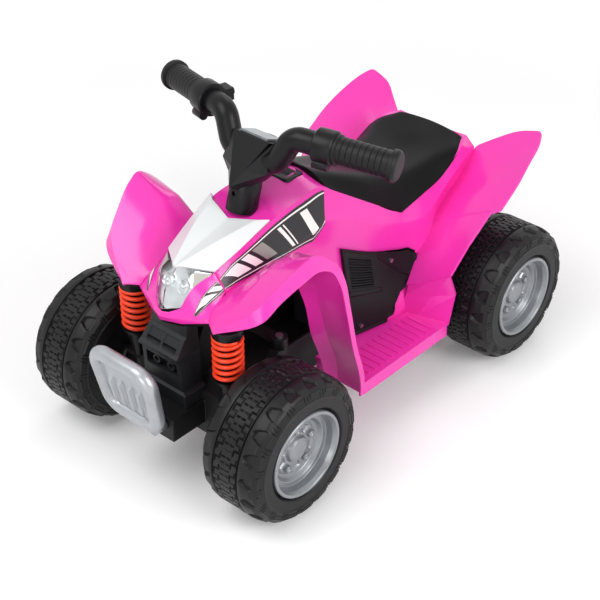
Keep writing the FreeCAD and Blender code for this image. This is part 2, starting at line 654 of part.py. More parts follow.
BAR = [head_point(36, -90, 383), head_point(56, -80, 422), head_point(184, -44, 415)]
path = [V(-point.x, point.y, point.z) for point in BAR[::-1]] + BAR
grip_way = BAR[2] - BAR[1]
grip_way.normalize()
handlebar = moulding(tube(rounded_path(path, 20), size("bar_radius")))
keep("handlebar", handlebar)


def on_bar(side, away):
    """Placement on the straight grip run of one side, its X axis pointing outward."""
    place = BAR[1] + grip_way * away
    way = V(grip_way.x, grip_way.y, grip_way.z)
    if side < 0:
        place = V(-place.x, place.y, place.z)
        way = V(-way.x, way.y, way.z)
    return FreeCAD.Placement(place, FreeCAD.Rotation(way, V(0, 0, 0), V(0, 0, 1), "XZY"))


GRIP = [(0, ("bar_radius", 0)), (0, ("grip_radius", 2)), (4, ("grip_radius", 2)), (4, ("grip_radius", 0))]
for ring in range(8):
    start = 10 + 7.4 * ring
    for along, depth in ((0, 0), (0, -1), (1.6, -1), (1.6, 0)):
        GRIP.append((start + along, ("grip_radius", depth)))
GRIP += [
    (("grip_length", -5), ("grip_radius", 0)), (("grip_length", -5), ("grip_flange", 0)),
    (("grip_length", 0), ("grip_flange", 0)), (("grip_length", 4), ("grip_radius", 0)),
    (("grip_length", 6), ("grip_radius", -6)), (("grip_length", 6), 0), (("grip_length", 1), 0),
    (("grip_length", 1), ("bar_radius", 0)),
]
CLAMP = [
    (0, ("bar_radius", 0)), (0, ("clamp_radius", -2)), (2, ("clamp_radius", 0)),
    (("clamp_length", -2), ("clamp_radius", 0)), (("clamp_length", 0), ("clamp_radius", -2)),
    (("clamp_length", 0), ("bar_radius", 0)),
]
grip_run = (BAR[2] - BAR[1]).Length
grip_start = grip_run - size("grip_length") - 1
clamp_start = grip_start - size("clamp_length")
for tag, side in (("left", 1), ("right", -1)):
    grip = turned("grip", GRIP, (0, 0, 0))
    grip.Placement = on_bar(side, grip_start)
    keep("grip_" + tag, grip)
    parts = [turned("ring", CLAMP, (0, 0, 0))]
    lug_side = ("-clamp_radius", 8) if side > 0 else ("clamp_radius", -8)
    parts.append(rod(6, ("clamp_length", -6), (3, lug_side, ("-clamp_radius", 3.5)), ALONG_X))
    cuts = [rod(("bar_radius", 0), 60, (-10, 0, 0), ALONG_X)]
    if side < 0:
        parts.append(block((0, ("-clamp_radius", -8), -6), (("clamp_length", -5), 20, 16)))
        well = rod(("button_radius", 0), 12, (10, ("-clamp_radius", -9), 2), ALONG_Y)
        well.setExpression("Radius", "sizes.button_radius + sizes.running_clearance")
        well.setExpression("Height", "7 + sizes.button_travel")
        cuts.append(well)
    clamp = carve(join(parts), join(cuts) if len(cuts) > 1 else cuts[0])
    clamp.Placement = on_bar(side, clamp_start)
    keep("control_clamp_left" if side > 0 else "throttle_housing", clamp)
button = rod(("button_radius", 0), 9, (10, 0, 2), ALONG_Y)
button.setExpression("Placement.Base.y", "-sizes.clamp_radius - 9 - sizes.button_travel")
button.setExpression("Height", "6 + sizes.button_travel")
press = join([button, rod(("button_radius", -2), 1, (10, 0, 2), ALONG_Y)])
press.Shapes[1].setExpression("Placement.Base.y", "-sizes.clamp_radius - 9.5 - sizes.button_travel")
press.Placement = on_bar(-1, clamp_start)
keep("throttle_button", press)

# Dash pod: a faceted wedge round the middle of the bar, pointed below in front, with a display on top.
POD = [
    [(1, -130, 351), (13, -114, 349), (17, -86, 352), (0, -76, 353)],
    [(1, -134, 357), (23, -112, 361), (27, -80, 364), (0, -70, 364)],
    [(10.7, -119.5, 376), (36, -108, 375), (37, -74, 384), (0, -61, 383)],
    [(29, -94, 410), (31, -88, 408), (29, -61, 397), (0, -55, 396)],
]
pod_rings = [half + [(-x, y, z) for x, y, z in half[-2::-1]] for half in POD]
pod_blank = moulding(ring_solid([[head_point(*point) for point in ring] for ring in pod_rings]))
display_blank = moulding(ring_solid([[head_point(*point) for point in ring] for ring in (
    [(22, -90, 404), (22, -64, 394), (-22, -64, 394), (-22, -90, 404)],
    [(22, -89, 411.5), (22, -63, 400.5), (-22, -63, 400.5), (-22, -89, 411.5)])]))
through = join([handlebar, nodes["handlebar_neck"], nodes["steering_column"]])
pod = carve(pod_blank, through)
keep("dash_display", carve(display_blank, pod))
keep("dash_pod", pod)

# Main cowl: one saddle-shaped moulding from the bonnet over the tank and under the seat to the tail.
COWL = [
    [(0, -200, 296), (38, -203, 281), (54, -200, 261), (54, -200, 248), (52, -200, 236)],
    [(0, -165, 306), (45, -160, 300), (59, -155, 268), (57, -155, 255), (55, -155, 240)],
    [(0, -117, 316), (48, -112, 318), (65, -105, 276), (62, -105, 252), (60, -105, 235)],
    [(0, -60, 333), (46, -60, 323), (66, -60, 282), (62, -55, 252), (62, -50, 228)],
    [(0, -8, 331), (45, -8, 320), (60, -5, 280), (62, 0, 234), (76, 12, 92)],
    [(0, 52, 280), (60, 52, 281), (66, 52, 250), (68, 55, 205), (86, 60, 92)],
    [(0, 111, 240), (74, 111, 243), (77, 111, 225), (75, 111, 186), (95, 106, 92)],
    [(0, 150, 246), (75, 150, 252), (82, 152, 215), (88, 154, 192), (92, 150, 135)],
    [(0, 194, 258), (74, 194, 261), (76, 194, 240), (77, 194, 212), (77, 194, 165)],
    [(0, 246, 276), (71, 246, 284), (72, 246, 262), (72, 246, 240), (72, 246, 185)],
    [(0, 275, 284), (58, 275, 286), (68, 281, 270), (69, 281, 255), (69, 281, 200)],
    [(0, 281, 206), (50, 281, 204), (60, 282.5, 203), (65, 283, 201.5), (68, 283.5, 198)],
]
cowl_half = stations(COWL)
cowl_grid = both_halves(cowl_half)
for line in cowl_grid[4:7]:
    for end in (0, -1):
        line[end] = V(line[end].x, line[end].y, size("floor_top"))
cowl_blank = moulding(sheet_solid(cowl_grid, size("panel_wall")))
column_hole = column_rod(("column_radius", 0), -60, 120)
column_hole.setExpression("Radius", "sizes.column_radius + 6")
neck_room = column_rod(("neck_radius", 0), -size("neck_drop") - size("neck_clearance"), 90)
neck_room.setExpression("Radius", "sizes.neck_radius + sizes.neck_clearance")
switch_back = station(0, -35, 0).y
switch_hole = block((-15, switch_back - 13, 300), (30, 26, 60))
keep("main_cowl", carve(carve(carve(cowl_blank, column_hole), switch_hole), neck_room))
cowl = nodes["main_cowl"]

# Nose panel: the pink frame round the headlight, from the bonnet corners down to the pointed chin.
NOSE = [
    [(40, -204, 283), (47, -202, 272), (54, -199, 261)],
    [(30, -231, 270), (42, -226, 262), (58, -222, 248)],
    [(21, -245, 244), (34, -244, 239), (62, -235, 236)],
    [(9, -254, 238), (14, -255.5, 232), (26, -249, 226)],
    [(0, -257.5, 237), (0, -260, 231.5), (0, -259, 226)],
]
left_nose = stations(NOSE)
right_nose = [[V(-point.x, point.y, point.z) for point in line] for line in left_nose[-2::-1]]
nose_blank = moulding(sheet_solid(left_nose + right_nose, size("panel_wall"), True))
keep("nose_panel", trimmed(nose_blank, cowl))
nose = nodes["nose_panel"]

# Hood cover: a white faceted plate with two ridges spreading back from its tip to two horns.
HOOD = [
    [(0, -232, 290), (3, -231, 291), (40, -203, 285)],
    [(0, -183, 303), (24, -174, 311), (46, -162, 302.5)],
    [(0, -138, 314.5), (38, -127, 322), (50, -117, 322.5)],
]
hood_blank = moulding(sheet_solid(both_halves(stations(HOOD)), 4))
keep("hood_cover", trimmed(hood_blank, cowl, nose, neck_room))

# Headlight: a clear faceted lens in the nose and a reflector shell behind it.
LENS = [
    [(0, -229, 286), (20, -218, 285), (38, -205, 282)],
    [(0, -248, 266), (15, -241, 268), (30, -230, 269)],
    [(0, -256, 240), (9, -252, 242), (20, -244, 244)],
]
REFLECTOR = [
    [(0, -212, 284), (18, -208, 283), (38, -201, 280)],
    [(0, -226, 264), (12, -228, 266), (30, -226, 267)],
    [(0, -249, 237), (8, -247, 239), (20, -240, 242)],
]
reflector_blank = moulding(sheet_solid(both_halves(stations(REFLECTOR)), 1.5, True))
lens_blank = moulding(sheet_solid(both_halves(stations(LENS)), 2, True))
reflector = trimmed(reflector_blank, nose, cowl)
keep("headlight_reflector", reflector)
keep("headlight_lens", trimmed(lens_blank, nose, reflector, nodes["hood_cover"]))

# Footwells: ribbed floor on the outriggers, outer and front skirts, and the leaning rear wall up to its seam.
FLOOR = [
    [(70, -54), (112, -54), (155, -54)],
    [(70, 18), (112, 18), (155, 18)],
    [(84, 103), (112, 112), (155, 124)],
]
WALL = [
    [(92, 108, 118), (125, 121, 124), (155, 136, 132)],
    [(94, 110, 134), (125, 117, 150), (152, 124, 167)],
]
floor_grid = stations([[(x, y, size("floor_top")) for x, y in line] for line in FLOOR] + WALL)
for line in floor_grid[:4]:
    line[-1] = V(size("foot_edge"), line[-1].y, line[-1].z)
foot_parts = [moulding(sheet_solid(floor_grid, size("floor_thick")))]
edge_front = station(0, -54, 0).y
edge_rear = station(0, 121, 0).y
skirt = block((("foot_edge", -4), edge_front, ("skirt_bottom", 0)), (4, edge_rear - edge_front, 1))
skirt.setExpression("Height", "sizes.floor_top - sizes.skirt_bottom - 1")
front_skirt = block((72, edge_front, ("skirt_bottom", 0)), (1, 4, 1))
front_skirt.setExpression("Length", "sizes.foot_edge - 72")
front_skirt.setExpression("Height", "sizes.floor_top - sizes.skirt_bottom - 1")
foot_parts += [skirt, front_skirt]
for index in range(12):
    rib = block((104, station(0, -36 + 12 * index, 0).y, ("floor_top", -1)), (1, 4, ("rib_height", 1)))
    rib.setExpression("Length", "sizes.foot_edge - 112")
    foot_parts.append(rib)
foot_left = trimmed(join(foot_parts), cowl)
keep("footwell_left", foot_left)

# Front fenders: a wing rising back over the wheel, its outer lip, and the mudguard leg down to the footboard.
FENDER = [
    [(59, -236, 238), (70, -243, 238), (78, -248, 237), (78, -247, 234)],
    [(55, -219, 252), (95, -227, 262), (126, -220, 279), (134, -222, 263)],
    [(52.5, -195, 258), (95, -200, 280), (138, -193, 303), (141, -195, 281)],
    [(56.5, -165, 264), (98, -168, 298), (147, -166, 321), (149, -166, 297)],
    [(60.5, -138, 270), (100, -140, 303), (150, -145, 327), (152, -143, 303)],
    [(62.5, -122, 272), (104, -122, 300), (152, -113, 302), (152, -121, 293)],
    [(80, -112, 258), (112, -104, 262), (153, -96, 272), (154, -105, 267)],
    [(95, -106, 222), (110, -94, 222), (154, -85, 225), (155, -94, 224)],
    [(95, -92, 165), (110, -78, 165), (155, -73, 165), (155, -81, 165)],
    [(95, -68, 96), (110, -54, 92), (155, -54, 92), (155, -62, 90)],
    [(95, -66, 78), (110, -54, 75), (155, -54, 74), (155, -62, 74)],
]
fender_blank = moulding(sheet_solid(stations(FENDER), size("panel_wall")))
fender_left = trimmed(fender_blank, cowl, nose)
keep("front_fender_left", fender_left)

# Rear fenders: a panel leaning back from the footwell seam, stepping out into the wing that rises to its tip.
REAR = [
    [(92, 108, 134.5), (112, 114, 143), (125, 117.5, 151), (152, 125, 168)],
    [(88, 132, 166), (108, 142, 180), (130, 150, 190), (156, 159, 205)],
    [(82, 173, 202), (108, 182, 214), (134, 190, 226), (160, 197, 238)],
    [(76, 180, 206), (108, 188, 218), (140, 197, 231), (171, 204, 243)],
    [(72, 215, 224), (108, 222, 238), (140, 231, 252), (170, 241, 267)],
    [(71, 240, 237), (105, 250, 251), (138, 260, 268), (165, 271, 284)],
    [(70, 262, 251), (102, 275, 268), (134, 289, 284), (159, 301, 297)],
    [(67, 285, 268), (92, 301, 284), (116, 317, 296), (149, 322, 306)],
]
rear_blank = moulding(sheet_solid(stations(REAR), size("panel_wall")))
rear_left = trimmed(rear_blank, cowl, foot_left)
keep("rear_fender_left", rear_left)

# Engine panels: dark finned covers following the side wall of the cowl.
panel_depth = size("engine_panel_depth")


def wall_point(row, share):
    """Point on the left side wall at a share of the way down a cowl row, pushed out by the panel's depth."""
    whole = int(row)
    rest = row - whole
    upper = cowl_half[whole][3] * (1 - rest) + cowl_half[min(whole + 1, 10)][3] * rest
    lower = cowl_half[whole][4] * (1 - rest) + cowl_half[min(whole + 1, 10)][4] * rest
    return upper + (lower - upper) * share + V(panel_depth, 0, 0)


PANEL = [
    [(4, 0.02), (4, 0.45), (4, 0.985)], [(5, 0.02), (5, 0.45), (5, 0.985)],
    [(6, 0.02), (6, 0.4), (6, 0.75)], [(6.5, 0.15), (6.5, 0.35), (6.5, 0.5)],
]
panel_grid = [[wall_point(*pair) for pair in line] for line in PANEL]
panel_blank = moulding(sheet_solid(panel_grid, panel_depth + 1.5))
screws = []
for row, share in ((4.3, 0.9), (5.6, 0.15)):
    place = wall_point(row, share)
    screws.append(rod(3, 5, (place.x - 4, place.y, place.z), ALONG_X))
screw_pair = join(screws)
panel_left = trimmed(panel_blank, cowl, foot_left, rear_left, screw_pair)
keep("engine_panel_left", panel_left)

# Seat: a moulded saddle over the tank, its side flaps reaching down to the cowl, square and rounded behind.
SEAT = [
    [(0, -13, 329), (29, -13, 326), (43, -9, 317)],
    [(0, -12, 338), (30, -12, 334), (46, -8, 320)],
    [(0, 52, 308), (48, 52, 304), (62, 52, 280)],
    [(0, 111, 283), (55, 111, 279), (77, 111, 242)],
    [(0, 150, 277), (56, 150, 274), (78, 150, 251)],
    [(0, 194, 278), (58, 194, 276), (77, 194, 260)],
    [(0, 240, 287), (60, 240, 285), (71, 243, 282)],
    [(0, 268, 292), (50, 264, 290), (58, 268, 284)],
    [(0, 272, 282), (48, 270, 284), (54, 272, 284)],
]
seat_blank = moulding(sheet_solid(both_halves(stations(SEAT)), size("seat_wall")))
keep("seat", trimmed(seat_blank, cowl))

# Struts and springs: a black post with a lower cone, two spring seats and a coil between them.
fork_top = "sizes.wheel_radius + sizes.knuckle_half_height + sizes.side_clearance + sizes.fork_plate"
cone = doc.addObject("Part::Cone", "cone")
cone.Radius1 = 7
cone.Radius2 = 15
settle(cone, (("spring_side", 0), ("spring_back", 0), 0))
cone.setExpression("Placement.Base.z", fork_top)
cone.setExpression("Height", "sizes.spring_bottom - 4 - (%s)" % fork_top)
where = (("spring_side", 0), ("spring_back", 0))
seat_low = rod(("spring_radius", 2), 4, where + (("spring_bottom", -4),))
post = rod(("strut_radius", 0), 1, where + (("spring_bottom", 0),))
post.setExpression("Height", "sizes.spring_top - sizes.spring_bottom")
cap = rod(("spring_radius", 2), 12, where + (("spring_top", 0),))
strut_left = trimmed(join([cone, seat_low, post, cap]), fender_left, nose)
keep("strut_left", strut_left)


def arc_from(start, way, end):
    """Arc that leaves a point along a direction and ends at another point."""
    chord = end - start
    along = chord * (1.0 / chord.Length)
    aside = way - along * way.dot(along)
    if aside.Length < 1e-9:
        return Part.makeLine(start, end)
    aside.normalize()
    angle = way.getAngle(along)
    middle = start + chord * 0.5 + aside * (chord.Length / 2 * math.tan(angle / 2))
    return Part.Arc(start, middle, end).toShape()


def coil(centre, radius, low, high, turns):
    """Helix as pairs of arcs that meet tangentially, one pair to a quarter turn."""
    count = int(4 * turns)
    climb = (high - low) / count
    slope = climb / (radius * math.pi / 2)
    places = []
    ways = []
    for index in range(count + 1):
        angle = index * math.pi / 2
        places.append(centre + V(radius * math.cos(angle), radius * math.sin(angle), low + climb * index))
        way = V(-math.sin(angle), math.cos(angle), slope)
        way.normalize()
        ways.append(way)
    edges = []
    for a, b, u, w in zip(places[:-1], places[1:], ways[:-1], ways[1:]):
        span = b - a
        both = u + w
        spread = 2 * (1 - u.dot(w))
        reach = (-span.dot(both) + math.sqrt(span.dot(both) ** 2 + spread * span.dot(span))) / spread
        middle = (a + u * reach + b - w * reach) * 0.5
        edges.append(arc_from(a, u, middle))
        back_arc = arc_from(b, w * -1, middle)
        edges.append(back_arc)
    return Part.Wire(Part.__sortEdges__(edges))


middle_spring = V(size("spring_side"), size("spring_back"), 0)
spring_wire = coil(middle_spring, size("spring_radius"), size("spring_bottom") + size("spring_wire"),
                   size("spring_top") - size("spring_wire"), size("spring_turns"))
spring_left = moulding(tube(spring_wire, size("spring_wire")))
keep("spring_left", spring_left)
marks = spring_wire.discretize(Number=400)
turn_marks = int(400 / size("spring_turns") / 2)
least = min((a - b).Length for i, a in enumerate(marks) for b in marks[i + turn_marks:])
print("least gap of the spring to itself %.2f mm" % (least - 2 * size("spring_wire")))

# Front grille and the hoop bumper with its ribbed plate and two stubs.
GRILLE = [(112, 44, -262), (150, 43, -258), (185, 40, -252), (224, 36, -245)]
rings = []
for height, half, front in GRILLE:
    near = station(0, front, 0).y
    far = size("subframe_front")
    rings.append([V(-half, near, height), V(half, near, height), V(half, far, height), V(-half, far, height)])
pockets = []
POCKETS = [(172, -32, 28, 24, -250), (172, 4, 28, 24, -250), (150, -30, 60, 15, -253)]
for low, left, wide, tall, deep in POCKETS:
    pockets.append(block((left, station(0, deep - 20, 0).y, low), (wide, 20, tall)))
keep("front_grille", carve(moulding(ring_solid(rings)), join(pockets)))
bracket_front = size("subframe_front") - size("bracket_length")
low_back = size("bumper_front") + 18
top_corner = V(size("bumper_half_top"), size("bumper_front"), size("bumper_upper"))
low_corner = V(size("bumper_half_low"), low_back, size("bumper_lower"))
loop = [top_corner, low_corner]
loop += [V(-corner.x, corner.y, corner.z) for corner in (low_corner, top_corner)]
hoop = moulding(tube(rounded_path(loop, 20, True), size("bumper_tube")))
drop = low_corner - top_corner
PLATE = []
for share in (0.04, 0.35, 0.65, 0.96):
    place = top_corner + drop * share
    PLATE.append([V(across * place.x, place.y - 3, place.z) for across in (-1, 0, 1)])
plate_sheet = moulding(sheet_solid(PLATE, 6))
bumper = [hoop, plate_sheet]
top_mark = top_corner + drop * 0.42 - V(top_corner.x + drop.x * 0.42, 0, 0)
low_mark = top_corner + drop * 0.86 - V(top_corner.x + drop.x * 0.86, 0, 0)
for left in (-24, -8, 8, 24):
    bumper.append(moulding(ring_solid([
        [mark + V(left + across, behind, 0) for across, behind in ((-3, -8), (3, -8), (3, 0), (-3, 0))]
        for mark in (top_mark, low_mark)])))
for left in (-29, 29):
    bumper.append(rod(("bumper_tube", -2), bracket_front - low_back, (left, low_back, 100), ALONG_Y))
keep("front_bumper", join(bumper))

# Battery on the tub floor, motor on its bracket, and the gears down to the right rear wheel.
battery = block((0, 0, 0), (("battery_width", 0), ("battery_length", 0), ("battery_height", 0)))
battery.setExpression("Placement.Base.x", "-sizes.battery_width / 2")
battery.setExpression("Placement.Base.y", "sizes.motor_back - sizes.battery_gap - sizes.battery_length")
battery.setExpression("Placement.Base.z", "sizes.tub_bottom + sizes.tub_wall")
keep("battery", battery)


def gear_shape(teeth, low):
    """Spur gear along X with involute flanks thinned by the backlash."""
    module = size("gear_module")
    pitch = teeth * module / 2.0
    base = pitch * math.cos(math.radians(20))
    tip = pitch + 0.9 * module
    root = pitch - 1.2 * module
    rest = math.tan(math.radians(20)) - math.radians(20)
    half = math.pi / 2 / teeth - size("backlash") / 2.0 / pitch
    flank = [(root, half + rest)]
    for step in range(4):
        radius = max(base, root) + (tip - max(base, root)) * step / 3.0
        angle = math.acos(min(1.0, base / radius))
        flank.append((radius, half + rest - (math.tan(angle) - angle)))
    points = []
    for tooth in range(teeth):
        turn = 2 * math.pi * tooth / teeth
        for radius, lean in flank:
            points.append((radius, turn - lean))
        for radius, lean in flank[::-1]:
            points.append((radius, turn + lean))
    loop = [V(low, radius * math.cos(angle), radius * math.sin(angle)) for radius, angle in points]
    face = Part.Face(Part.makePolygon(loop + loop[:1]))
    return face.extrude(V(size("gear_width"), 0, 0))


def gear(teeth, low, turn, place):
    """Gear set at a place and turned about its axle."""
    thing = moulding(gear_shape(int(size(teeth)), low))
    return settle(thing, place, FreeCAD.Rotation(V(1, 0, 0), turn))


gear_pitch = 360.0 / size("gear_teeth")
pinion_pitch = 360.0 / size("pinion_teeth")
axle_place = (0, ("rear_axle", 0), (TREAD, 0))
idler_place = (0, ("idler_back", 0), ("idler_height", 0))
motor_place = (0, ("motor_back", 0), ("idler_height", 0))
drive = gear("gear_teeth", -46, 150, axle_place)
drive_tube = rod(("axle_radius", 6), 1, (-45, ("rear_axle", 0), (TREAD, 0)), AGAINST_X)
drive_tube.setExpression("Height", "sizes.wheel_centre - sizes.tyre_half_width - 45")
drive_bore = rod(("wheel_bore", 0), 120, (-20, ("rear_axle", 0), (TREAD, 0)), AGAINST_X)
keep("drive_gear", carve(join([drive, drive_tube]), drive_bore))
idler_pinion = gear("pinion_teeth", -46, -30 + pinion_pitch / 2, idler_place)
idler_wheel = gear("gear_teeth", -36, 180, idler_place)
idler_hub = rod(("gear_shaft", 3), 12, (-39, ("idler_back", 0), ("idler_height", 0)), ALONG_X)
idler_bore = rod(("gear_shaft", 0), 40, (-60, ("idler_back", 0), ("idler_height", 0)), ALONG_X)
idler_bore.setExpression("Radius", "sizes.gear_shaft + sizes.running_clearance")
keep("idler_gear", carve(join([idler_pinion, idler_wheel, idler_hub]), idler_bore))
pinion = gear("pinion_teeth", -36, pinion_pitch / 2, motor_place)
motor_stem = rod(("motor_shaft", 0), 24, (-36, ("motor_back", 0), ("idler_height", 0)), ALONG_X)
keep("motor_pinion", join([pinion, motor_stem]))
case_low = "sizes.tub_bottom + sizes.tub_wall"
case_plate = block((-24, ("motor_back", -24), 0), (6, 1, 1))
case_plate.setExpression("Placement.Base.z", case_low)
case_plate.setExpression("Width", "sizes.idler_back - sizes.motor_back + 40")
case_plate.setExpression("Height", "sizes.idler_height + 24 - (%s)" % case_low)
case_shaft = rod(("gear_shaft", 0), 28, (-50, ("idler_back", 0), ("idler_height", 0)), ALONG_X)
stem_hole = rod(("motor_shaft", 2), 20, (-30, ("motor_back", 0), ("idler_height", 0)), ALONG_X)
keep("gearbox_case", carve(join([case_plate, case_shaft]), stem_hole))
can = rod(("motor_radius", 0), ("motor_length", 0), (-18, ("motor_back", 0), ("idler_height", 0)), ALONG_X)
can_bore = rod(("motor_shaft", 0), 10, (-20, ("motor_back", 0), ("idler_height", 0)), ALONG_X)
can_bore.setExpression("Radius", "sizes.motor_shaft + sizes.running_clearance")
keep("motor", carve(can, can_bore))

# Power switch: a rocker in a bezel let into the top of the tank.
bezel = block((-15, switch_back - 13, 318), (30, 26, 17))
well = block((-12, switch_back - 10, 322), (24, 20, 20))
pivot_hole = rod(1.55, 40, (-20, switch_back, 331), ALONG_X)
keep("switch_bezel", carve(carve(bezel, well), pivot_hole))
ROCKER = [(-7.8, 2.6), (0, 1.5), (7.8, 7), (7.8, 4), (4, -3.5), (-4, -3.5), (-7.8, 0.2)]
rocker = plate("rocker", "YZ_Plane", ROCKER, 23, (-11.5, switch_back, 331))
pivot = rod(1.5, 28, (-14, switch_back, 331), ALONG_X)
keep("power_switch", join([rocker, pivot]))

# Right-hand pieces are mirror images of the left-hand ones, fitted to their own neighbours.


def reflected(source):
    """Mirror image of a left-hand piece in the middle plane."""
    copy = doc.addObject("Part::Mirroring", "reflected")
    copy.Source = source
    copy.Normal = V(1, 0, 0)
    return copy


BESIDE = {
    "front_fender": ["main_cowl", "nose_panel"], "footwell": ["main_cowl"],
    "rear_fender": ["main_cowl", "footwell_right"],
    "engine_panel": ["main_cowl", "footwell_right", "rear_fender_right"],
}
for word, others in BESIDE.items():
    copy = reflected(nodes[word + "_left"])
    keep(word + "_right", trimmed(copy, *[nodes[name] for name in others]))
for word in ("strut", "spring"):
    keep(word + "_right", reflected(nodes[word + "_left"]))
screw_mirror = reflected(screw_pair)
screw_set = doc.addObject("Part::Compound", "screw_set")
screw_set.Links = [screw_pair, screw_mirror]
keep("panel_screws", screw_set)

doc.recompute()
os.makedirs("parts", exist_ok=True)
for thing in doc.Objects:
    if "Invalid" in thing.State or "Error" in thing.State:
        raise RuntimeError("not built: %s %s" % (thing.Label, thing.State))
for label, thing in nodes.items():
    shape = thing.Shape
    if shape.isNull() or not shape.isValid():
        raise RuntimeError("bad shape: " + label)
    shape.exportStep("parts/%s.step" % label)
    print("%-22s %d solid(s) %9.0f mm3" % (label, len(shape.Solids), shape.Volume))
print("nodes", len(nodes))
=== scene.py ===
import math
import bmesh
import bpy
import numpy as np
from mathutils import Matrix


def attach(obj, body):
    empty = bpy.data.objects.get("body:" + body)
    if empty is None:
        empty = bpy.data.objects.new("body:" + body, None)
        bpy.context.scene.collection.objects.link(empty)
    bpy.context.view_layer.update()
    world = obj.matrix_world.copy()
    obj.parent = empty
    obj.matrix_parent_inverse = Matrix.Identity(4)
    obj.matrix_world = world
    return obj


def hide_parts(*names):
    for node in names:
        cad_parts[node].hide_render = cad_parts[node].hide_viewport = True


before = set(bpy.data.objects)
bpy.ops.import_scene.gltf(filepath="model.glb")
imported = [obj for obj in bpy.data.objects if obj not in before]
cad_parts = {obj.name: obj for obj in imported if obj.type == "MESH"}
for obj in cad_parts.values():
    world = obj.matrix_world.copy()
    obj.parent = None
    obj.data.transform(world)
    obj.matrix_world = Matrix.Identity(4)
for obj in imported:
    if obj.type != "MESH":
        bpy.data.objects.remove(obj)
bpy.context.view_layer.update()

# Chassis tub and front subframe: black polypropylene mouldings under the body that carry everything.
# They come out of the tool with a fine spark-eroded grain, so they look matte and slightly uneven.
MM_PER_M = 1000.0


def linear(text):
    """sRGB hex to linear colour: c/12.92 below 0.04045, else ((c + 0.055)/1.055) to the power 2.4."""
    part = np.array([int(text[i:i + 2], 16) for i in (1, 3, 5)]) / 255.0
    return (*np.where(part <= 0.04045, part / 12.92, ((part + 0.055) / 1.055) ** 2.4), 1.0)


def add_node(tree, kind, values=(), links=(), **settings):
    """Adds one node with its settings, its socket values and the sockets that feed it."""
    made = tree.nodes.new(kind)
    for name, value in settings.items():
        setattr(made, name, value)
    for name, value in values:
        made.inputs[name].default_value = value
    for name, source in links:
        tree.links.new(source, made.inputs[name])
    return made


def start_finish(name, values=()):
    """New material, its node tree, and its surface shader with some inputs set."""
    finish = bpy.data.materials.new(name)
    finish.use_nodes = True
    shader = finish.node_tree.nodes["Principled BSDF"]
    for label, value in values:
        shader.inputs[label].default_value = value
    return finish, finish.node_tree, shader


def tone_and_sheen(tree, shader, dark, light, tone_by, smooth, rough, rough_by):
    """Colour mixed from two tones by one node output, and roughness between two levels by another."""
    tone = add_node(tree, "ShaderNodeMix", [("A", linear(dark)), ("B", linear(light))], [("Factor", tone_by)],
                    data_type="RGBA")
    sheen = add_node(tree, "ShaderNodeMapRange", [("To Min", smooth), ("To Max", rough)],
                     [("Value", rough_by)])
    tree.links.new(tone.outputs["Result"], shader.inputs["Base Color"])
    tree.links.new(sheen.outputs["Result"], shader.inputs["Roughness"])


def moulded_plastic(name, dark, light, gloss, grain_mm, depth_mm, cloud_mm=45.0, shine=0.25):
    """Moulded plastic: two close tones in soft clouds, roughness that wanders by 0.05, and a fine grain bump.

    The grain is drawn five to ten times coarser than a real tool's 0.1 to 0.2 mm, so that it still shows.
    On glossy skins it is the orange peel, at its real 6 to 7 mm.
    """
    finish, tree, shader = start_finish(name, [("Specular IOR Level", shine)])
    where = add_node(tree, "ShaderNodeTexCoord").outputs["Object"]
    cloud = add_node(tree, "ShaderNodeTexNoise", [("Scale", MM_PER_M / cloud_mm), ("Detail", 3.0)],
                     [("Vector", where)]).outputs["Fac"]
    tone_and_sheen(tree, shader, dark, light, cloud, gloss - 0.05, gloss + 0.05, cloud)
    grain = add_node(tree, "ShaderNodeTexNoise", [("Scale", MM_PER_M / grain_mm), ("Detail", 2.0)],
                     [("Vector", where)])
    bump = add_node(tree, "ShaderNodeBump", [("Strength", 0.5), ("Distance", depth_mm / MM_PER_M)],
                    [("Height", grain.outputs["Fac"])])
    tree.links.new(bump.outputs["Normal"], shader.inputs["Normal"])
    return finish


def dress(finish, names, round_mm=0.0):
    """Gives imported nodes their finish, and breaks their sharp edges by a small radius."""
    for name in names:
        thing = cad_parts[name]
        thing.material_slots[0].material = finish
        if round_mm:
            weld = thing.modifiers.new("weld", "WELD")
            weld.merge_threshold = 1e-5
            edge = thing.modifiers.new("edge", "BEVEL")
            edge.width = round_mm / MM_PER_M
            edge.segments = 2
            edge.limit_method = "ANGLE"
            edge.angle_limit = math.radians(40)


black_tub = moulded_plastic("injected_black_polypropylene", "#0D0D0E", "#141416", 0.52, 0.9, 0.12)
dress(black_tub, ["chassis_tub", "front_subframe", "gearbox_case"], 1.2)

# Steel pieces: drawn bar axles and column, turned kingpins, zinc-plated nuts and screws.
# Bright zinc over steel shows fine marks of the drawing and a soft grey sheen.
bright_steel, steel_tree, steel_shader = start_finish("zinc_plated_steel", [("Metallic", 1.0)])
steel_where = add_node(steel_tree, "ShaderNodeTexCoord").outputs["Object"]
# Draw marks are 1.4 mm here, against 0.1 mm on real bar, to show from a metre away.
steel_marks = add_node(steel_tree, "ShaderNodeTexNoise", [("Scale", 700.0), ("Detail", 4.0)],
                       [("Vector", steel_where)]).outputs["Fac"]
tone_and_sheen(steel_tree, steel_shader, "#8E9193", "#B7BABC", steel_marks, 0.26, 0.42, steel_marks)
dress(bright_steel, ["rear_axle", "rear_axle_nuts", "kingpins", "stub_axle_left", "stub_axle_right",
                     "steering_column", "steering_crank", "neck_screw", "panel_screws", "tie_rod_screws",
                     "motor"])

# Knuckles and tie rod: injected glass-filled black nylon, pushed on the kingpins and held by screws.
# The fibres leave a satin skin with a coarse mottle.
black_nylon = moulded_plastic("injected_glass_filled_nylon", "#0D0D0E", "#151517", 0.42, 1.6, 0.10)
dress(black_nylon, ["knuckle_left", "knuckle_right", "tie_rod"], 1.0)

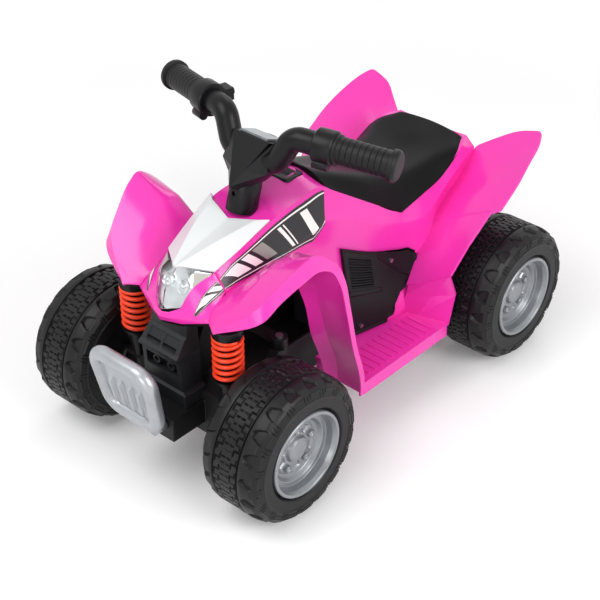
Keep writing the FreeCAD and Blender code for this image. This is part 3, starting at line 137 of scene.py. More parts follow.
# Battery and gears: a sealed dark battery case on the tub floor, and the gear train to the right rear wheel.
# The case is grained ABS, and the gears are injected from natural white acetal.
battery_case = moulded_plastic("injected_battery_grey_abs", "#2A2B2E", "#35363A", 0.45, 1.2, 0.10)
dress(battery_case, ["battery"], 1.5)
natural_acetal = moulded_plastic("injected_natural_acetal", "#D8D6CC", "#E9E7DF", 0.34, 1.0, 0.04)
dress(natural_acetal, ["drive_gear", "idler_gear", "motor_pinion"])

# Tyres: hollow blow-moulded black polyethylene shells with a tread, a hub tube and a closed inner wall.
# The tread has a slotted middle band between two rings, and scoops round the shoulder that leave blunt lugs.
WHEEL_RADIUS = 97.5
HALF_TRACK = 154
WHEELS = {"front_left": (1, -215), "front_right": (-1, -215), "rear_left": (1, 239), "rear_right": (-1, 239)}
TREAD_LINE = [(40, 57.6), (41.5, 59.5), (46, 63), (46, 78), (42, 89.5), (37, 95), (26, WHEEL_RADIUS),
              (-26, WHEEL_RADIUS), (-37, 95), (-42, 89.5), (-46, 78), (-46, 60), (-40, 55), (-40, 15),
              (-46, 15), (-46, 6)]


def quads(grid, round_rows=False, round_columns=False):
    """Index array of the four-sided faces of a grid of points, closed round either way."""
    rows, columns = grid.shape[:2]
    i = np.arange(rows if round_rows else rows - 1)[:, None]
    j = np.arange(columns if round_columns else columns - 1)[None, :]
    k = (i + 1) % rows
    n = (j + 1) % columns
    corners = (i * columns + j, i * columns + n, k * columns + n, k * columns + j)
    return np.stack(np.broadcast_arrays(*corners), -1).reshape(-1, 4)


def piece(name, parts, finish, body, stands_for=(), chart=None, crisp=None):
    """Mesh object from parts of points in mm and faces, with doubles merged at seams and poles.

    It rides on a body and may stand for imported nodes. Edges past the crisp angle in degrees shade sharp.
    """
    points, faces, start = [], [], 0
    for some, these in parts:
        flat = np.asarray(some, float).reshape(-1, 3)
        points.append(flat)
        faces.append(np.asarray(these) + start)
        start += len(flat)
    mesh = bpy.data.meshes.new(name)
    mesh.from_pydata((np.concatenate(points) / MM_PER_M).tolist(), [], np.concatenate(faces).tolist())
    mesh.polygons.foreach_set("use_smooth", np.ones(len(mesh.polygons), bool))
    if chart is not None:
        corners = np.empty(len(mesh.loops), np.int32)
        mesh.loops.foreach_get("vertex_index", corners)
        mesh.uv_layers.new(name="chart").data.foreach_set("uv", chart.reshape(-1, 2)[corners].ravel())
    shell = bmesh.new()
    shell.from_mesh(mesh)
    bmesh.ops.remove_doubles(shell, verts=shell.verts, dist=2e-6)
    shell.to_mesh(mesh)
    shell.free()
    if crisp:
        mesh.set_sharp_from_angle(angle=math.radians(crisp))
    mesh.materials.append(finish)
    mesh.update()
    thing = bpy.data.objects.new(name, mesh)
    bpy.context.scene.collection.objects.link(thing)
    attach(thing, body)
    if stands_for:
        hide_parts(*stands_for)
    return thing


def even_line(corners, shares, soften):
    """Corner line at even steps, or at given shares of its length, averaged over a window in mm."""
    samples = 3000
    corners = np.asarray(corners, float)
    far = np.concatenate([[0], np.cumsum(np.linalg.norm(np.diff(corners, axis=0), axis=1))])
    fine = np.linspace(0, far[-1], samples)
    line = np.stack([np.interp(fine, far, corners[:, k]) for k in range(2)], 1)
    half = max(1, int(soften / far[-1] * samples / 2))
    padded = np.concatenate([np.repeat(line[:1], half, 0), line, np.repeat(line[-1:], half, 0)])
    total = np.concatenate([np.zeros((1, 2)), np.cumsum(padded, 0)])
    mean = (total[2 * half + 1:] - total[:-2 * half - 1]) / (2 * half + 1)
    mean[0], mean[-1] = line[0], line[-1]
    places = np.linspace(0, 1, shares) if np.isscalar(shares) else shares
    return mean[(places * (len(mean) - 1)).astype(int)]


def step_up(value, edge, soft):
    """Smooth step from 0 to 1 about an edge, 3t^2 - 2t^3 over twice the softness."""
    share = np.clip((value - edge + soft) / (2 * soft), 0, 1)
    return share * share * (3 - 2 * share)


def hump(value, middle, half, soft):
    """1 within half of a middle and 0 outside, with a smooth step at both edges."""
    return 1 - step_up(np.abs(value - middle), half, soft)


def tread_relief(across, around):
    """Depth in mm at arc distances across from the crown and around the tread.

    Meander: a square wave line between 9 and 16.5 mm out. Slots: short cross cuts at 4 mm. Ring: a groove at
    19.5 mm. Scoops: half ellipses ((a - 47)/23.5)^2 + (t/10.5)^2 < 1 at each lug pitch, deep at the tip and
    rising to the side wall. Notches and teeth break the lugs' outer ends, and a fine ring runs below them.
    """
    off = np.abs(across)
    pitch = 2 * math.pi * WHEEL_RADIUS / 36
    wave = (around + np.where(across > 0, 0, pitch / 2)) % pitch
    line = np.abs(off - np.where(wave < pitch / 2, 16.5, 9.0))
    turn = np.minimum(np.minimum(wave, pitch - wave), np.abs(wave - pitch / 2))
    meander = np.minimum(line, np.hypot(turn, np.maximum(np.abs(off - 12.75) - 3.75, 0)))
    half = (around + pitch / 4) % (pitch / 2)
    cut = np.hypot(np.maximum(np.abs(off - 4.0) - 2.4, 0), np.minimum(half, pitch / 2 - half))
    relief = -1.9 * hump(meander, 0, 0.9, 0.35) - 1.9 * hump(cut, 0, 0.9, 0.35)
    relief -= 2.2 * hump(off, 19.5, 1.1, 0.4)
    lug = 2 * math.pi * WHEEL_RADIUS / 19
    side = (around + np.where(across > 0, 0, lug / 2)) % lug - lug / 2
    scoop = ((off - 47) / 23.5) ** 2 + (side / 10.5) ** 2
    inside = (1 - step_up(scoop, 0.96, 0.04)) * (1 - step_up(off, 47.5, 0.6))
    relief += inside * (-4.6 + 2.2 * np.clip((off - 24) / 23, 0, 1))
    notch = hump(side, 0, 9.5, 0.6) * step_up(off, 47.5, 0.6) * (1 - step_up(off, 52.0, 0.8))
    tooth = hump(np.abs(side), 13.0, 1.4, 0.5) * hump(off, 49, 6, 0.8)
    fine_ring = hump(off, 58.0, 0.8, 0.4)
    return relief - 1.3 * notch - 1.6 * tooth - 0.8 * fine_ring


def unit(vectors):
    """Vectors divided by their own lengths."""
    return vectors / np.linalg.norm(vectors, axis=-1, keepdims=True)


def tyre_surface(turns, steps):
    """Tread line turned about X, each point moved along the line's own normal by the tread relief.

    The outer two thirds of the line take all but 20 of its steps; the plain inner wall takes those.
    """
    shares = np.concatenate([np.linspace(0, 0.66, steps - 20), np.linspace(0.66, 1, 21)[1:]])
    line = even_line(TREAD_LINE, shares, 1.6)
    way = unit(np.gradient(line, axis=0))
    far = np.concatenate([[0], np.cumsum(np.linalg.norm(np.diff(line, axis=0), axis=1))])
    last = int(np.argmax(line[:, 0] < 0))
    before, after = line[last - 1, 0], line[last, 0]
    crown = far[last - 1] + (far[last] - far[last - 1]) * before / (before - after)
    angle = np.arange(turns) * 2 * math.pi / turns
    relief = tread_relief((crown - far)[None, :], (angle * WHEEL_RADIUS)[:, None])
    x = line[:, 0] + relief * way[:, 1] * -1
    r = line[:, 1] + relief * way[:, 0] * -1
    return np.stack([x, -r * np.sin(angle)[:, None], r * np.cos(angle)[:, None]], -1)


blown_black = moulded_plastic("blown_black_polyethylene", "#0E0D0F", "#151416", 0.42, 1.4, 0.10, 60.0, 0.26)
tread = tyre_surface(608, 162)
for corner, (side, axle) in WHEELS.items():
    points = tread * (side, 1, 1) + (HALF_TRACK * side, axle, WHEEL_RADIUS)
    faces = quads(tread, True)[:, ::side]
    piece("tyre_skin_" + corner, [(points, faces)], blown_black, "wheel_" + corner, ["tyre_" + corner],
          crisp=32)

# Rims: silver-painted polypropylene dishes pressed into the tyres, with a stepped well, a raised hub disc,
# five bolt heads and shallow kidney recesses between them. The paint has a fine metal flake.
BOLT_CIRCLE = 27
DISH_LINE = [(31.5, 0), (31.5, 13), (30.5, 13.6), (30.5, 14.4), (31, 15), (26, 18), (26, 34), (25.3, 34.6),
             (25.3, 35.6), (26, 36.2), (26, 39), (32, 43), (32, 49), (41, 51), (46.5, 54), (46.8, 57),
             (45, 58.3), (40, 58.3)]


def rim_surface(turns, steps):
    """Dish line x(r) turned about X, less kidney recesses midway between bolts.

    A kidney lies where |r - 26.5| < 5 and the arc from the middle between two bolts is below 6.5 mm.
    """
    line = even_line(DISH_LINE, steps, 0.7)
    angle = np.arange(turns) * 2 * math.pi / turns
    sector = (angle[:, None] - math.pi / 2 + math.pi / 5) % (2 * math.pi / 5) - math.pi / 5
    between = math.pi / 5 - np.abs(sector)
    r = line[:, 1]
    kidney = hump(r, 26.5, 5.0, 0.8) * hump(between * BOLT_CIRCLE, 0, 6.5, 0.8)
    x = line[:, 0] - 2.6 * kidney
    return np.stack([x, r * np.cos(angle)[:, None], r * np.sin(angle)[:, None]], -1)


def bolt_heads():
    """Five twelve-sided heads on the bolt circle: rings of falling radius up 5.5 mm, then into a dimple."""
    ring_r = np.array([5.2, 5.0, 4.5, 3.0, 2.6, 0])
    ring_x = np.array([25.5, 29.4, 30.6, 31.0, 29.2, 29.2])
    turn = np.arange(12) * math.pi / 6
    spots = np.arange(5) * 2 * math.pi / 5 + math.pi / 2
    shape = (len(spots), len(ring_r), len(turn))
    x = np.broadcast_to(ring_x[None, :, None], shape)
    y = BOLT_CIRCLE * np.cos(spots)[:, None, None] + ring_r[None, :, None] * np.cos(turn)
    z = BOLT_CIRCLE * np.sin(spots)[:, None, None] + ring_r[None, :, None] * np.sin(turn)
    return np.stack([x, np.broadcast_to(y, shape), np.broadcast_to(z, shape)], -1)


def flake_paint(name, dark, light):
    """Silver paint: a soft cloud and fine flakes mix two greys, under a thin clear coat."""
    paint, tree, shader = start_finish(name, [("Metallic", 0.6), ("Coat Weight", 0.25)])
    where = add_node(tree, "ShaderNodeTexCoord").outputs["Object"]
    # Flakes are 1.1 mm here, against 0.03 mm in real paint, to show from a metre away.
    flake = add_node(tree, "ShaderNodeTexVoronoi", [("Scale", 900.0)], [("Vector", where)])
    cloud = add_node(tree, "ShaderNodeTexNoise", [("Scale", 30.0), ("Detail", 3.0)], [("Vector", where)])
    mixed = add_node(tree, "ShaderNodeMix", [("Factor", 0.35)],
                     [("A", cloud.outputs["Fac"]), ("B", flake.outputs["Distance"])], data_type="FLOAT")
    tone_and_sheen(tree, shader, dark, light, mixed.outputs["Result"], 0.26, 0.38, cloud.outputs["Fac"])
    return paint


rim_paint = flake_paint("silver_flake_rim_paint", "#787B7F", "#9A9DA1")
dish = rim_surface(200, 110)
heads = bolt_heads()
one_head = quads(heads[0], False, True)
head_faces = np.concatenate([one_head + k * heads[0, ..., 0].size for k in range(len(heads))])
for corner, (side, axle) in WHEELS.items():
    middle = (HALF_TRACK * side, axle, WHEEL_RADIUS)
    parts = [(dish * (side, 1, 1) + middle, quads(dish, True)[:, ::side]),
             (heads * (side, 1, 1) + middle, head_faces[:, ::side])]
    piece("rim_dish_" + corner, parts, rim_paint, "wheel_" + corner, ["rim_" + corner])

# Struts and springs: black posts with a cone foot and two spring plates, each inside a coated steel coil.
# The coil has an orange-red powder coat, smooth and glossy, with faint clouds in its colour.
SIDES = ((1, "left"), (-1, "right"))
black_satin = moulded_plastic("injected_satin_black_abs", "#0B0B0D", "#121214", 0.34, 1.1, 0.08, 45.0, 0.20)
dress(black_satin, ["strut_left", "strut_right"], 0.5)


def coil_surface(centre, radius, wire, low, high, turns, steps, sides):
    """Helix of a round wire: flat end turns, an even climb between them, and ends closed to a point."""
    upward = np.array([0, 0, 1])
    share = np.linspace(0, 1, steps)
    climb = np.clip((share * turns - 0.4) / (turns - 0.8), 0, 1)
    angle = share * turns * 2 * math.pi
    out = np.stack([np.cos(angle), np.sin(angle), 0 * angle], 1)
    height = low + wire + climb * (high - low - 2 * wire)
    path = np.array(centre) + out * radius + upward * height[:, None]
    ring = np.arange(sides) * 2 * math.pi / sides
    thick = np.full((steps, 1, 1), wire)
    thick[[0, -1]] = 0
    path[[0, -1]] = path[[1, -2]]
    circle = out[:, None] * np.cos(ring)[:, None] + upward * np.sin(ring)[:, None]
    return path[:, None] + thick * circle


spring_coat = moulded_plastic("orange_powder_coat", "#F03A18", "#FF5130", 0.24, 2.2, 0.05)
coil = coil_surface(centre=(81, -226, 0), radius=17.3, wire=2.7, low=163, high=225, turns=7, steps=336,
                    sides=14)
for side, word in SIDES:
    faces = quads(coil, False, True)[:, ::-side]
    piece("coil_" + word, [(coil * (side, 1, 1), faces)], spring_coat, "frame", ["spring_" + word])

# Front panel: a dark grey ABS box front between the struts, clipped to the subframe on a wider foot.
# Its sloped top has two framed windows over a lip, and the face below has a pocket with two round hooks.
PANEL_BACK = -226
PANEL_OUTLINE = np.array([
    (112, -263, 42), (130, -263, 41), (132, -259, 34), (178, -262, 33), (180, -267, 33.5), (184, -267, 33.5),
    (187, -263, 33), (203, -250, 31), (206, -246, 31), (224, -244, 30)])


def front_panel(rows, columns):
    """Rings at falling heights, whose front and half width follow the outline's (height, front, half width).

    The depths of the windows, the pocket and its hooks push the front back, and both ends close to a point.
    """
    z = np.linspace(223.5, 112.5, rows)[:, None]
    front, half = (np.interp(z, PANEL_OUTLINE[:, 0], PANEL_OUTLINE[:, k]) for k in (1, 2))
    round_way = np.arange(columns)[None, :] / columns
    corners = [0, 0.66, 0.78, 0.88, 1]
    x = half * np.interp(round_way, corners, [-1, 1, 1, -1, -1])
    back = np.interp(round_way, corners, [0, 0, 1, 1, 0])
    window = hump(np.abs(x), 13.5, 11.5, 0.5)
    depth = 2.5 * window * hump(z, 194.5, 6.5, 0.6) + 6 * window * hump(z, 189.0, 1.6, 0.6)
    pocket = hump(x, 0, 26, 0.6) * hump(z, 160.5, 9, 0.6)
    hook = np.hypot(np.abs(x) - 12.5, z - 160.5)
    depth = depth + pocket * (10 - 7 * hump(hook, 5, 1.8, 0.5))
    y = np.where(back > 0, front + back * (PANEL_BACK - front), front + depth)
    rings = np.stack(np.broadcast_arrays(x, y, z), -1)
    ends = [np.broadcast_to(rings[k].mean(0), (1, columns, 3)) for k in (0, -1)]
    return np.concatenate([ends[0], rings, ends[1]])


grey_abs = moulded_plastic("injected_dark_grey_abs", "#1B1C1E", "#27282B", 0.38, 1.2, 0.10)
panel_box = front_panel(150, 170)
panel_faces = quads(panel_box, False, True)[:, ::-1]
piece("front_panel", [(panel_box, panel_faces)], grey_abs, "frame", ["front_grille"], crisp=32)

# Front bumper: one blow-moulded piece, a hoop as thick as a thumb round a ribbed plate.
# It is painted silver like the rims, and two stubs plug it into the chassis.
HOOP_TOP = np.array([48, -326.5, 197])
HOOP_LOW = np.array([41, -308.5, 109])


def bent_path(points, radius, closed, share=8):
    """Straight runs joined by arcs: each corner's arc touches its runs at radius/tan(half angle)."""
    points = np.asarray(points, float)
    before = unit(np.roll(points, 1, 0) - points)
    after = unit(np.roll(points, -1, 0) - points)
    half = np.arccos(np.clip((before * after).sum(1), -1, 1)) / 2
    hub = points + unit(before + after) * (radius / np.sin(half))[:, None]
    start = points + before * (radius / np.tan(half))[:, None] - hub
    end = points + after * (radius / np.tan(half))[:, None] - hub
    sweep = math.pi - 2 * half
    mix = np.linspace(0, 1, share + 1)[None, :, None]
    wide = sweep[:, None, None]
    turned = np.sin((1 - mix) * wide) * start[:, None] + np.sin(mix * wide) * end[:, None]
    arcs = hub[:, None] + turned / np.sin(wide)
    if closed:
        return arcs.reshape(-1, 3)
    return np.concatenate([points[:1], arcs[1:-1].reshape(-1, 3), points[-1:]])


def round_bar(path, radius, side_way, sides=24, closed=False):
    """Circle carried along a path, its first axis square to the path and to a fixed direction.

    Open ends close to a point, a cap length past the path.
    """
    cap = 0.02
    if not closed:
        start = path[:1] - cap * unit(path[1:2] - path[:1])
        end = path[-1:] + cap * unit(path[-1:] - path[-2:-1])
        path = np.concatenate([start, path, end])
        radius = np.array([0.0] + [radius] * (len(path) - 2) + [0.0])
    along = unit(np.roll(path, -1, 0) - np.roll(path, 1, 0) if closed else np.gradient(path, axis=0))
    first = unit(np.cross(np.array(side_way, float), along))
    second = np.cross(along, first)
    ring = np.arange(sides)[:, None] * 2 * math.pi / sides
    thick = np.broadcast_to(np.asarray(radius, float), (len(path),))[:, None, None]
    return path[:, None] + thick * (np.cos(ring) * first[:, None] + np.sin(ring) * second[:, None])


def ribbed_plate(rows, columns):
    """Front and back of the plate inside the hoop, a straight blend from the hoop's top to its low corners.

    Four ribs stand 4.5 mm proud where 0.38 < down < 0.84 and fade at their ends, inside a raised border.
    """
    half_wall = 3.0
    down = np.linspace(0.03, 0.97, rows)[:, None]
    over = np.linspace(-1, 1, columns)[None, :]
    wide, y, z = (HOOP_TOP[k] + (HOOP_LOW[k] - HOOP_TOP[k]) * down for k in range(3))
    x = over * wide
    near = np.abs((x / wide * 44 + 32) % 16 - 8)
    rib = hump(near, 0, 2.6, 0.9) * (np.abs(over) < 0.72)
    rib = rib * step_up(down, 0.38, 0.05) * (1 - step_up(down, 0.84, 0.05))
    panel = np.maximum(np.abs(over) / 0.80, np.abs(down - 0.5) / 0.42)
    front = y - half_wall - 4.5 * rib - 1.2 * step_up(panel, 1.0, 0.06)
    return [np.stack(np.broadcast_arrays(x, face, z), -1) for face in (front, y + half_wall)]


bumper_paint = flake_paint("silver_flake_bumper_paint", "#92959A", "#B8BBBF")
hoop_path = bent_path([HOOP_TOP, HOOP_LOW, HOOP_LOW * (-1, 1, 1), HOOP_TOP * (-1, 1, 1)], 20, True)
hoop = round_bar(hoop_path, 10, (0, 0.98, 0.2), 24, True)
plate_front, plate_back = ribbed_plate(70, 120)
plate_faces = quads(plate_front)
bumper_parts = [(hoop, quads(hoop, True, True)), (plate_front, plate_faces[:, ::-1]),
                (plate_back, plate_faces)]
stub_path = np.array([[0, -308.5, 100], [0, -300, 100], [0, -291, 100.0]])
for across in (-29, 29):
    stub = round_bar(stub_path + (across, 0, 0), 8, (1, 0, 0))
    bumper_parts.append((stub, quads(stub, False, True)))
piece("bumper_hoop", bumper_parts, bumper_paint, "frame", ["front_bumper"])


# Main cowl: one big glossy pink polypropylene moulding from the bonnet over the tank and under the seat to
# the tail. Blow-moulded gloss: a clear even colour, wide soft reflections, and a faint orange peel.
def curve_weights(places, per, creases):
    """Weights of a cubic through points at given distances.

    Each span is a Hermite cubic; its slopes are finite differences, taken one-sided at ends and creases.
    """
    count = len(places)
    span = np.diff(places)
    unit = np.eye(count)
    chord = (unit[1:] - unit[:-1]) / span[:, None]
    slope = np.zeros((count, count))
    mixed = chord[:-1] * span[1:, None] + chord[1:] * span[:-1, None]
    slope[1:-1] = mixed / (span[:-1] + span[1:])[:, None]
    sharp = np.isin(np.arange(count), [0, count - 1, *creases])[:, None]
    leave = np.where(sharp[:-1], chord, slope[:-1])
    arrive = np.where(sharp[1:], chord, slope[1:])
    t = (np.arange(per) / per)[None, :, None]
    long = span[:, None, None]
    rows = ((1 + 2 * t) * (1 - t) ** 2 * unit[:-1, None] + t * (1 - t) ** 2 * long * leave[:, None]
            + t * t * (3 - 2 * t) * unit[1:, None] + t * t * (t - 1) * long * arrive[:, None])
    return np.concatenate([rows.reshape(-1, count), unit[-1:]])


def smooth_panel(table, per_row, per_column, row_creases=(), column_creases=()):
    """Surface through a grid of points: the row weights times the grid times the column weights."""
    grid = np.asarray(table, float)
    down = np.linalg.norm(np.diff(grid, axis=0), axis=2).mean(1)
    over = np.linalg.norm(np.diff(grid, axis=1), axis=2).mean(0)
    first = curve_weights(np.concatenate([[0], np.cumsum(down)]), per_row, row_creases)
    second = curve_weights(np.concatenate([[0], np.cumsum(over)]), per_column, column_creases)
    return np.einsum("ai,bj,ijk->abk", first, second, grid)


def sample(surface, row, column):
    """Point of a fine grid at fractional row and column numbers, by linear mixing of its four neighbours."""
    row = np.clip(row, 0, surface.shape[0] - 1.001)
    column = np.clip(column, 0, surface.shape[1] - 1.001)
    i, j = row.astype(int), column.astype(int)
    a, b = (row - i)[..., None], (column - j)[..., None]
    return ((surface[i, j] * (1 - a) + surface[i + 1, j] * a) * (1 - b)
            + (surface[i, j + 1] * (1 - a) + surface[i + 1, j + 1] * a) * b)


def round_far_corners(surface, down, over):
    """Patch whose two last-row corners are rounded: there a square of shares (a, b) maps to a quarter disc,
    a * sqrt(1 - b^2/2) and b * sqrt(1 - a^2/2)."""
    rows, columns = surface.shape[:2]
    u, v = np.meshgrid(np.linspace(0, 1, rows), np.linspace(-1, 1, columns), indexing="ij")
    a = np.clip((u - 1 + down) / down, 0, 1)
    b = np.clip((np.abs(v) - 1 + over) / over, 0, 1)
    u = u + down * a * (np.sqrt(1 - b * b / 2) - 1)
    v = v + np.sign(v) * over * b * (np.sqrt(1 - a * a / 2) - 1)
    return sample(surface, u * (rows - 1), (v + 1) / 2 * (columns - 1))


def whole_width(table):
    """Left half grid with its mirror image, the first column being the middle."""
    half = np.asarray(table, float)
    return np.concatenate([half[:, :0:-1] * (-1, 1, 1), half], 1)


def thicken(thing, wall_mm, round_mm=0.0):
    """Gives a sheet its wall inwards and, if asked, rounds its edges and creases."""
    wall = thing.modifiers.new("wall", "SOLIDIFY")
    wall.thickness = wall_mm / MM_PER_M
    wall.offset = -1.0
    if round_mm:
        edge = thing.modifiers.new("edge", "BEVEL")
        edge.width = round_mm / MM_PER_M
        edge.segments = 3
        edge.limit_method = "ANGLE"
        edge.angle_limit = math.radians(32)


def skin(name, grid, turn, finish, wall_mm, round_mm, stands_for=(), crisp=None):
    """Panel on the frame: the faces of a grid, turned over where turn is -1, with a wall inwards."""
    faces = quads(grid)[:, ::turn]
    thing = piece(name, [(grid, faces)], finish, "frame", stands_for, crisp=crisp)
    thicken(thing, wall_mm, round_mm)


def skin_pair(name, grid, turn, finish, wall_mm, round_mm, node, crisp=None):
    """The left panel and its mirror image on the right, whose faces turn the other way."""
    for side, word in SIDES:
        skin(name + word, grid * (side, 1, 1), turn * side, finish, wall_mm, round_mm, [node + word],
             crisp)


gloss_pink = moulded_plastic("blown_gloss_pink_polypropylene", "#EC30AA", "#F138B0", 0.20, 7.0, 0.04,
                             120.0, 0.5)
COWL = np.array([
    [(0, -200, 296), (38, -203, 281), (54, -200, 261), (54, -200, 248), (52, -200, 236)],
    [(0, -165, 306), (45, -160, 300), (59, -155, 268), (57, -155, 255), (55, -155, 240)],
    [(0, -117, 316), (48, -112, 318), (65, -105, 276), (62, -105, 252), (60, -105, 235)],
    [(0, -60, 333), (46, -60, 323), (66, -60, 282), (62, -55, 252), (62, -50, 228)],
    [(0, -8, 331), (45, -8, 320), (60, -5, 280), (62, 0, 234), (76, 12, 92)],
    [(0, 52, 280), (60, 52, 281), (66, 52, 250), (68, 55, 205), (86, 60, 92)],
    [(0, 111, 240), (74, 111, 243), (77, 111, 225), (75, 111, 186), (95, 106, 92)],
    [(0, 150, 246), (75, 150, 252), (86, 152, 222), (88, 154, 192), (92, 150, 135)],
    [(0, 194, 258), (74, 194, 261), (82, 194, 243), (77, 194, 212), (77, 194, 165)],
    [(0, 246, 276), (71, 246, 284), (77, 246, 266), (72, 246, 240), (72, 246, 185)],
    [(0, 275, 284), (58, 275, 286), (68, 281, 270), (69, 281, 255), (69, 281, 200)],
    [(0, 281, 206), (50, 281, 204), (60, 282.5, 203), (65, 283, 201.5), (68, 283.5, 198)],
])
cowl_shape = smooth_panel(whole_width(COWL), 9, 9, (10,), (2, 3, 5, 6))
cowl_faces = quads(cowl_shape)
# The tank top has a hole for the power switch, 24 by 18 mm.
SWITCH_Y, TANK_Z = -35, 300
x, y, z = cowl_shape.reshape(-1, 3)[cowl_faces].mean(1).T
switch_hole = (np.abs(x) < 12) & (np.abs(y - SWITCH_Y) < 9) & (z > TANK_Z)
cowl = piece("cowl_skin", [(cowl_shape, cowl_faces[~switch_hole])], gloss_pink, "frame", ["main_cowl"],
             crisp=32)
thicken(cowl, 3)

# Nose panel: the pink frame round the headlight, moulded with the bonnet corners and a pointed chin.
# It clips to the front of the cowl, in the same glossy polypropylene.
NOSE = np.array([
    [(40, -204, 283), (47, -202, 272), (54, -199, 261)],
    [(30, -231, 270), (42, -226, 262), (58, -222, 248)],
    [(21, -245, 244), (34, -244, 239), (62, -235, 236)],
    [(9, -254, 238), (14, -255.5, 232), (26, -249, 226)],
    [(0, -257.5, 237), (0, -260, 231.5), (0, -259, 226)],
])
nose_grid = np.concatenate([NOSE, NOSE[-2::-1] * (-1, 1, 1)])
nose_shape = smooth_panel(nose_grid, 8, 8, (2, 3, 4, 5, 6), (1,))
skin("nose_skin", nose_shape, -1, gloss_pink, 3, 0.8, ["nose_panel"])

# Chin lip: a thin black ABS strip under the nose, folded back to the front panel.
# It closes the gap behind the chin and follows its point.
lip_top = NOSE[2:, 2] + (0, 1.5, 0.5)
lip_half = np.stack([lip_top, lip_top + (0, 3.0, -7.0), lip_top + (0, 12.0, -10.0)], 1)
lip_grid = np.concatenate([lip_half, lip_half[-2::-1] * (-1, 1, 1)])
lip_shape = smooth_panel(lip_grid, 6, 5, (1, 2, 3), (1,))
skin("chin_lip", lip_shape, -1, black_satin, 2, 0.6)

# Headlight: a vacuum-metallised faceted reflector with two lamp cups, grey side plates, and a clear lens.
# The metal coat is bright with a faint haze. It carries painted shade that darkens each facet's hollow and
# lightens its ridges. Its facets and the lens's soft waves are about 17 mm across.
# The lens has an index of 1.2, below polycarbonate's 1.58, because so thin a wall hardly bends the view.
bright_coat, coat_tree, coat_shader = start_finish("vacuum_metal_coat", [
    ("Metallic", 0.7), ("Roughness", 0.16)])
FACETS_PER_M = 60.0
coat_where = add_node(coat_tree, "ShaderNodeTexCoord").outputs["Object"]
coat_facet = add_node(coat_tree, "ShaderNodeTexVoronoi", [("Scale", FACETS_PER_M)], [("Vector", coat_where)])
# Painted shade and highlight: the coat's colour follows the facet relief, darker in each hollow and lighter
# on the ridges.
coat_painted_facet_shade = add_node(coat_tree, "ShaderNodeMix", [("A", linear("#C9CCCE")), ("B", linear("#EEF0F1"))],
                     [("Factor", coat_facet.outputs["Distance"])], data_type="RGBA")
coat_bump = add_node(coat_tree, "ShaderNodeBump", [("Strength", 0.25), ("Distance", 0.001)],
                     [("Height", coat_facet.outputs["Distance"])])
coat_tree.links.new(coat_painted_facet_shade.outputs["Result"], coat_shader.inputs["Base Color"])
coat_tree.links.new(coat_bump.outputs["Normal"], coat_shader.inputs["Normal"])
REFLECTOR = [
    [(0, -212, 284), (18, -208, 283), (38, -201, 280)],
    [(0, -226, 264), (12, -228, 266), (30, -226, 267)],
    [(0, -249, 237), (8, -247, 239), (20, -240, 242)],
]
reflector_shape = smooth_panel(whole_width(REFLECTOR), 8, 8, (1,), (1, 2, 3))
skin("reflector_shell", reflector_shape, -1, bright_coat, 1.5, 0.4, ["headlight_reflector"])


def turned_surface(line, place, axis, sides=40):
    """(along, radius) line turned about an axis through a place."""
    axis = unit(np.array(axis, float))
    first = unit(np.cross(axis, (0.0, 0.3, 1.0)))
    second = np.cross(axis, first)
    ring = np.arange(sides)[:, None] * 2 * math.pi / sides
    out = np.cos(ring) * first + np.sin(ring) * second
    line = np.asarray(line, float)
    return np.array(place, float) + line[:, 0, None, None] * axis + line[:, 1, None, None] * out


CUP_LINE = [(0, 8.5), (5, 9), (5.6, 8.4), (1.5, 3.6), (1.5, 3.4), (5.5, 3.2), (7.2, 1.6), (7.4, 0)]
cup_line = even_line(CUP_LINE, 40, 0.4)
lamp_parts = []
for side in (1, -1):
    cup = turned_surface(cup_line, (12 * side, -226, 262), (0.12 * side, -0.86, 0.5))
    lamp_parts.append((cup, quads(cup, False, True)))
piece("lamp_cups", lamp_parts, bright_coat, "frame")
clear_lens, lens_tree, lens_shader = start_finish("injected_clear_polycarbonate", [
    ("Base Color", linear("#F4F6F6")), ("Transmission Weight", 1.0), ("IOR", 1.2)])
lens_where = add_node(lens_tree, "ShaderNodeTexCoord").outputs["Object"]
lens_wave = add_node(lens_tree, "ShaderNodeTexNoise", [("Scale", FACETS_PER_M)], [("Vector", lens_where)])
lens_rough = add_node(lens_tree, "ShaderNodeMapRange", [("To Min", 0.02), ("To Max", 0.06)],
                      [("Value", lens_wave.outputs["Fac"])])
lens_tree.links.new(lens_rough.outputs["Result"], lens_shader.inputs["Roughness"])
LENS = [
    [(0, -229, 286), (20, -218, 285), (38, -205, 282)],
    [(0, -248, 266), (15, -241, 268), (30, -230, 269)],
    [(0, -256, 240), (9, -252, 242), (20, -244, 244)],
]
lens_shape = smooth_panel(whole_width(LENS), 6, 6, (1,), (1, 2, 3))
skin("lens_cover", lens_shape, -1, clear_lens, 2, 0.5, ["headlight_lens"])
pearl_grey = moulded_plastic("injected_pearl_grey_abs", "#A9A9A2", "#B9B9B3", 0.35, 1.0, 0.05)
SIDE_PLATE = [
    [(22, -220.5, 284.6), (37.5, -207, 282)],
    [(30, -231, 269.6), (30.4, -230.6, 269.7)],
]
plate_shape = smooth_panel(SIDE_PLATE, 5, 5)
side_plates = [(plate_shape * (side, 1, 1), quads(plate_shape)[:, ::-side]) for side in (1, -1)]
thicken(piece("lamp_side_plates", side_plates, pearl_grey, "frame"), 0.8, 0.2)

# Hood cover: a separate injected white ABS plate, screwed on the bonnet from below.
# Its facets meet in two ridges that spread from the tip to two horns; the skin is glossy.
gloss_white = moulded_plastic("injected_gloss_white_abs", "#D6D9DB", "#E2E4E5", 0.22, 6.0, 0.03, 90.0, 0.5)
HOOD = [
    [(0, -232, 290), (3, -231, 291), (40, -203, 285)],
    [(0, -183, 303), (24, -174, 311), (46, -162, 302.5)],
    [(0, -138, 314.5), (38, -127, 322), (50, -117, 322.5)],
]
hood_shape = smooth_panel(whole_width(HOOD), 10, 10, (), (1, 2, 3))
skin("hood_plate", hood_shape, 1, gloss_white, 4, 1.2, ["hood_cover"])

